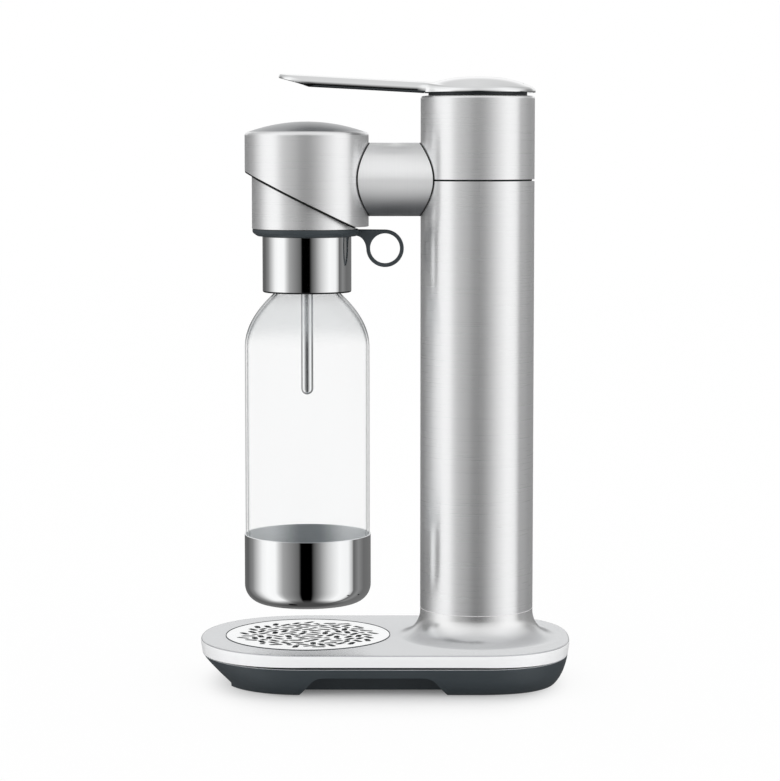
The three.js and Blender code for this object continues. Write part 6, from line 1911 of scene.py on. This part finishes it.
@dataclass
class Bottle:
    """The clear bottle, the polished cup round its foot and the wand."""

    finishes: Finishes
    wall: float = 1.5 * MM
    cup_wall: float = 1.2 * MM
    cup_rounding: float = 13.0 * MM
    kick: Pair = (22.0 * MM, 2.0 * MM)
    fit: float = 0.3 * MM
    step: float = 1.0 * MM
    neck_radius: float = 20.0 * MM
    neck_length: float = 21.0 * MM
    shoulder_height: float = 41.0 * MM
    shoulder_rise: float = 18.0 * MM
    haunch: Pair = (30.0 * MM, 9.0 * MM)
    neck_share: float = 0.33
    wand_bore: float = 2.4 * MM
    orifice: float = 0.7 * MM
    wand_flange: Pair = (6.5 * MM, 1.4 * MM)

    def __post_init__(self) -> None:
        """Takes the bottle's own sizes from the frame."""
        self.box = Extent.of("bottle")
        self.cup_box = Extent.of("bottle_cup")
        self.centre = (self.cup_box.radius - self.cup_rounding, self.cup_box.low.z + self.cup_rounding)
        self.neck_z = self.box.high.z - self.neck_length
        self.shoulder_z = self.neck_z - self.shoulder_height

    def foot(self, inset: float) -> list[Turn]:
        """The rounded foot with its kick, inset from the cup's outer face."""
        radius = self.cup_rounding - inset
        level = self.centre[1] - radius
        kick_radius, kick = self.kick
        return [Turn(0, level + kick), Turn(kick_radius * 0.5, level + kick * 0.75),
                Turn(kick_radius, level, 3 * MM), *arc(self.centre, radius, 270, 360, 14)]

    def shoulder(self, inset: float) -> list[Turn]:
        """The bottle's shoulder from its side to the neck."""
        start = Vector((self.box.radius - inset, self.shoulder_z))
        first = Vector((self.box.radius - inset, self.shoulder_z + self.shoulder_rise - inset / 2))
        second = Vector((self.haunch[0] - inset, self.neck_z - self.haunch[1] - inset))
        end = Vector((self.neck_radius - inset, self.neck_z - inset * self.neck_share))
        points = []
        for k in range(29):
            t = k / 28
            point = start * (1 - t) ** 3 + first * 3 * t * (1 - t) ** 2
            point += second * 3 * t * t * (1 - t) + end * t**3
            points.append(Turn(point.x, point.y))
        return points

    def body(self) -> bpy.types.Object:
        """The clear bottle, a closed shell."""
        waist = self.cup_box.high.z + self.step
        clearance = self.cup_wall + self.fit
        seated = self.cup_box.radius - clearance
        mouth = self.box.high.z
        outer = [*self.foot(clearance), Turn(seated, waist - self.wall, 0.6 * MM),
                 Turn(self.box.radius, waist, 0.6 * MM), *self.shoulder(0),
                 Turn(self.neck_radius, mouth, 0.5 * MM)]
        inner = [*self.foot(clearance + self.wall), Turn(seated - self.wall, waist, 0.6 * MM),
                 Turn(self.box.radius - self.wall, waist + self.wall, 0.6 * MM), *self.shoulder(self.wall),
                 Turn(self.neck_radius - self.wall, mouth, 0.5 * MM)]
        return softened(turned("bottle_clear", (BOTTLE_X, 0), [*outer, *reversed(inner)]), 0)

    def cup(self) -> bpy.types.Object:
        """The polished cup round the bottle's foot."""
        rim, radius = self.cup_box.high.z, self.cup_box.radius
        outer = [*self.foot(0), Turn(radius, rim, 0.5 * MM)]
        inner = [*self.foot(self.cup_wall), Turn(radius - self.cup_wall, rim, 0.5 * MM)]
        return softened(turned("bottle_foot_cup", (BOTTLE_X, 0), [*outer, *reversed(inner)]), 0)

    def wand(self) -> bpy.types.Object:
        """The tube that leads the gas into the bottle."""
        box, seal = Extent.of("wand"), Extent.of("bottle_seal")
        radius = 4.2 * MM
        flange, flange_height = self.wand_flange
        flange_top = seal.high.z
        loop = [
            Turn(self.orifice, box.low.z), *arc((0, box.low.z + radius), radius, 285, 360, 8),
            Turn(radius, flange_top - flange_height), Turn(flange, flange_top - flange_height, 0.2 * MM),
            Turn(flange, flange_top, 0.2 * MM), Turn(radius, flange_top), Turn(radius, box.high.z),
            Turn(self.wand_bore, box.high.z), Turn(self.wand_bore, box.low.z + radius),
            Turn(self.orifice, box.low.z + radius / 2), Turn(self.orifice, box.low.z),
        ]
        return softened(turned("gas_wand", (BOTTLE_X, 0), loop, MIDDLE), 0)

    def build(self) -> None:
        """Models and dresses the bottle."""
        place_piece(self.body(), self.finishes.clear, "bottle_unit", "bottle_clear", "bottle")
        cup = place_piece(
            self.cup(), self.finishes.polished, "bottle_unit", "polished_steel", "bottle_cup"
        )
        # painted reflection: the cup's inner and upward faces take the finish that is darker at the middle
        inner = self.cup_box.radius - self.cup_wall / 2
        refinished(cup, self.finishes.cup_inside, lambda middle, normal: (
            normal.x * (middle.x - BOTTLE_X) + normal.y * middle.y < 0
            and math.hypot(middle.x - BOTTLE_X, middle.y) < inner
        ) or normal.z > 0.3)
        place_piece(self.wand(), self.finishes.polished, "cap", "polished_steel", "wand")


class Works:
    """What the shells hide: gas supply, valve, plates, seals, pins and screws."""

    stroke: float = 0.95 * MM

    def __init__(self, finishes: Finishes) -> None:
        """Notes each hidden node with its body, finish and slot."""
        cast, dark, brass = finishes.cast, finishes.charcoal, finishes.brass
        self.cylinder_finish = finishes.cylinder
        self.pieces = (
            ("column_chassis", "machine", cast, "cast_aluminium"),
            ("cylinder_rest", "machine", dark, "charcoal_plastic"),
            ("valve_block", "machine", cast, "cast_aluminium"),
            ("arm_core", "machine", cast, "cast_aluminium"),
            ("dock_plate", "machine", dark, "charcoal_plastic"),
            ("gas_nozzle", "machine", brass, "brass"),
            ("nozzle_seal", "machine", finishes.rubber, "black_rubber"),
            ("gas_tube", "machine", dark, "charcoal_plastic"),
            ("lever_pin", "machine", cast, "cast_aluminium"),
            ("return_spring", "machine", finishes.polished, "polished_steel"),
            ("valve_plunger", "plunger", dark, "charcoal_plastic"),
            ("cylinder_valve", "cylinder", brass, "brass"),
            ("cap_lid", "cap", dark, "charcoal_plastic"),
            ("bottle_seal", "cap", finishes.silicone, "clear_silicone"),
            ("release_tab_pin", "cap", cast, "cast_aluminium"),
            ("relief_poppet", "poppet", brass, "brass"),
            ("base_screw_1", "machine", finishes.polished, "polished_steel"),
            ("base_screw_2", "machine", finishes.polished, "polished_steel"),
            ("base_screw_3", "machine", finishes.polished, "polished_steel"),
            ("base_screw_4", "machine", finishes.polished, "polished_steel"),
        )

    def cylinder(self) -> bpy.types.Object:
        """The drawn gas cylinder with its necked shoulder."""
        box = Extent.of("gas_cylinder")
        neck, shoulder = 11 * MM, 34 * MM
        low = box.high.z - shoulder
        points = []
        curve = ((box.radius, low), (box.radius, low + 16.5 * MM), (neck, box.high.z - 21 * MM),
                 (neck, box.high.z))
        for k in range(25):
            t = k / 24
            weights = ((1 - t) ** 3, 3 * t * (1 - t) ** 2, 3 * t * t * (1 - t), t**3)
            points.append(tuple(sum(w * p[i] for w, p in zip(weights, curve)) for i in (0, 1)))
        port, depth = 6 * MM, 14 * MM
        loop = [
            Turn(0, box.low.z + 2.5 * MM), Turn(14 * MM, box.low.z, 3 * MM),
            Turn(box.radius, box.low.z, 10 * MM), *points, Turn(port, box.high.z),
            Turn(port, box.high.z - depth), Turn(0, box.high.z - depth),
        ]
        return softened(turned("gas_bottle", (COLUMN_X, 0), loop, MIDDLE, 8), 0)

    def shorten(self, spring: bpy.types.Object, box: Extent) -> None:
        """Keeps the spring's top coil below the pressed plunger."""
        edit(spring)
        scale = 1 - self.stroke / (box.high.z - box.low.z)
        bpy.ops.transform.resize(value=(1, 1, scale), center_override=(box.middle_x, 0, box.low.z))
        done(spring, spring.name)

    def build(self) -> None:
        """Models and dresses the works."""
        out_of_mirrors(place_piece(
            self.cylinder(), self.cylinder_finish, "cylinder", "cylinder_aluminium", "gas_cylinder"
        ))
        for node, body, finish, slot in self.pieces:
            piece = rounded_copy(node, node + "_dressed")
            if node == "return_spring":
                self.shorten(piece, Extent.of(node))
            out_of_mirrors(place_piece(piece, finish, body, slot, node))


# Studio


@dataclass
class Studio:
    """A white room with a pale floor; metal mirrors a ring of light and dark panels round the stand."""

    floor_half: float = 6.0
    floor_white: tuple[float, float, float] = (0.12, 0.45, 0.9)
    shadow_core: Pair = (42.0 * MM, 68.0 * MM)
    shadow_reach: Pair = (76.0 * MM, 140.0 * MM)
    shadow_ends: float = 2.0
    clear_walls: int = 32
    camera_place: Colour = (3.5 * MM, -1800.0 * MM, 376.0 * MM)
    look_down: float = 5.1
    lens: float = 117.88
    shift: float = -0.0155
    level_stops: tuple[tuple[int, int], ...] = (
        (-180, 120), (-155, 100), (-139, 93), (-118, 135), (-102, 201), (-89, 244), (-77, 254), (-60, 250),
        (-52, 205), (-44, 162), (-36, 146), (-21, 115), (-15, 100), (-11, 0), (9, 0), (12, 72), (23, 135),
        (30, 170), (39, 204), (50, 230), (62, 251), (81, 246), (90, 190), (94, 98), (108, 134), (125, 106),
        (151, 112), (180, 120),
    )
    raised_stops: tuple[tuple[int, int], ...] = (
        (-180, 252), (-160, 246), (-138, 150), (-118, 150), (-89, 250), (-60, 254), (-40, 225), (0, 170),
        (40, 225), (62, 254), (90, 245), (118, 140), (138, 150), (160, 246), (180, 252),
    )
    upper_stops: tuple[tuple[int, int], ...] = (
        (-180, 218), (-130, 185), (-90, 235), (-60, 248), (0, 215), (60, 248), (90, 235), (130, 185),
        (180, 218),
    )
    overhead: int = 215
    underneath: int = 70

    def panel_ring(self, recipe: Recipe, turn: Signal, stops: tuple[tuple[int, int], ...]) -> Signal:
        """A ring of grey panels round the upright axis.

        Args:
            recipe: The world's nodes.
            turn: Direction round the axis, from 0 at the back to 0.5 at the front.
            stops: Angle in degrees from the front with its grey.

        Returns:
            The colour.
        """
        scale = [((angle + 180) / 360, tone(grey, grey, grey)) for angle, grey in stops]
        ramp = recipe.node("ValToRGB", {"stops": scale}, Fac=turn)
        return recipe.signal(ramp, "Color")

    def world(self) -> None:
        """Writes the world: plain white for the eye and for soft light, panels for mirrors."""
        world = bpy.data.worlds.new("white_room")
        bpy.context.scene.world = world
        world.use_nodes = True
        world.node_tree.nodes.clear()
        recipe = Recipe(world.node_tree)
        where = recipe.node("TexCoord")
        split = recipe.node("SeparateXYZ", Vector=recipe.signal(where, "Generated"))
        x, y, z = (recipe.signal(split, axis) for axis in "XYZ")
        turn = recipe.maths("ARCTAN2", x, -y) / (2 * math.pi) + 0.5
        level = self.panel_ring(recipe, turn, self.level_stops)
        raised = self.panel_ring(recipe, turn, self.raised_stops)
        upper = self.panel_ring(recipe, turn, self.upper_stops)
        high = tone(self.overhead, self.overhead, self.overhead)
        low = tone(self.underneath, self.underneath, self.underneath)
        colour = recipe.mix(recipe.ease(z, 0.04, 0.12), level, raised)
        colour = recipe.mix(recipe.ease(z, 0.24, 0.5), colour, upper)
        colour = recipe.mix(recipe.ease(z, 0.75, 0.95), colour, high)
        colour = recipe.mix(recipe.ease(-z, 0.75, 0.99), colour, low)
        path = recipe.node("LightPath")
        mirrored = recipe.signal(path, "Is Glossy Ray") * (1.0 - recipe.signal(path, "Is Transmission Ray"))
        colour = recipe.mix(mirrored, tone(255, 255, 255), colour)
        background = recipe.node("Background", Color=colour, Strength=1.0)
        output = recipe.node("OutputWorld")
        recipe.tree.links.new(background.outputs[0], output.inputs["Surface"])

    def floor(self) -> None:
        """A large pale floor that keeps the soft shadow."""
        clear_selection()
        bpy.ops.mesh.primitive_plane_add(size=2 * self.floor_half)
        floor = bpy.context.object
        edit(floor)
        bpy.ops.mesh.subdivide(number_cuts=2)
        done(floor, "floor")
        material, recipe = new_recipe("floor_white")
        cloud = recipe.noise(recipe.place((1, 1, 1)), 3.0)
        colour = recipe.mix(cloud, tone(254, 254, 254), tone(252, 252, 252))
        recipe.dress(Base_Color=colour, Roughness=0.9, Specular_IOR_Level=0.0)
        self.lighten(material, recipe)
        floor.data.materials.append(material)
        floor.visible_glossy = False

    def lighten(self, material: bpy.types.Material, recipe: Recipe) -> None:
        """Lets the eye see the floor nearly white, with a part of its shadow near the stand."""
        output = next(n for n in material.node_tree.nodes if n.bl_idname == "ShaderNodeOutputMaterial")
        painted = output.inputs["Surface"].links[0].from_socket
        path = recipe.node("LightPath")
        white = recipe.node("Emission", Color=tone(255, 255, 255), Strength=1.0)
        seen = recipe.signal(path, "Is Camera Ray") + recipe.signal(path, "Is Transmission Ray")
        split = recipe.node("SeparateXYZ", {}, Vector=recipe.place((1.0, 1.0, 1.0)))
        x, y = recipe.signal(split, "X"), recipe.signal(split, "Y")
        beyond = recipe.maths("MAXIMUM", recipe.maths("ABSOLUTE", x) - COLUMN_X, 0.0) * self.shadow_ends
        away = recipe.maths("SQRT", beyond * beyond + y * y)
        under, near, far = self.floor_white
        edge = recipe.ease(away, *self.shadow_core) * (near - under)
        factor = seen * (recipe.ease(away, *self.shadow_reach) * (far - near) + edge + under)
        blend = recipe.node("MixShader", Fac=factor)
        recipe.tree.links.new(painted, blend.inputs[1])
        recipe.tree.links.new(white.outputs[0], blend.inputs[2])
        recipe.tree.links.new(blend.outputs[0], output.inputs["Surface"])

    def camera(self) -> None:
        """The camera at the photograph's place."""
        data = bpy.data.cameras.new("camera")
        camera = bpy.data.objects.new("camera", data)
        bpy.context.scene.collection.objects.link(camera)
        data.sensor_width = 36.0
        data.sensor_fit = "HORIZONTAL"
        data.lens = self.lens
        data.shift_y = self.shift
        camera.location = self.camera_place
        camera.rotation_euler = (math.radians(90 - self.look_down), 0, 0)
        bpy.context.scene.camera = camera

    def build(self) -> None:
        """Sets the room up."""
        self.world()
        self.floor()
        self.camera()
        bpy.context.scene.view_settings.view_transform = "Standard"
        bpy.context.scene.cycles.transparent_max_bounces = self.clear_walls


def main() -> None:
    """Builds and dresses the sparkling water maker, piece by piece."""
    finishes = Finishes()
    dock = Dock()
    Base(finishes).build()
    Tray(finishes).build()
    Column(finishes).build()
    Lever(finishes).build()
    Arm(finishes).build()
    Hood(finishes, dock).build()
    Cap(finishes, dock).build()
    FingerTab(finishes).build()
    Bottle(finishes).build()
    Works(finishes).build()
    Studio().build()


if __name__ == "__main__":
    main()
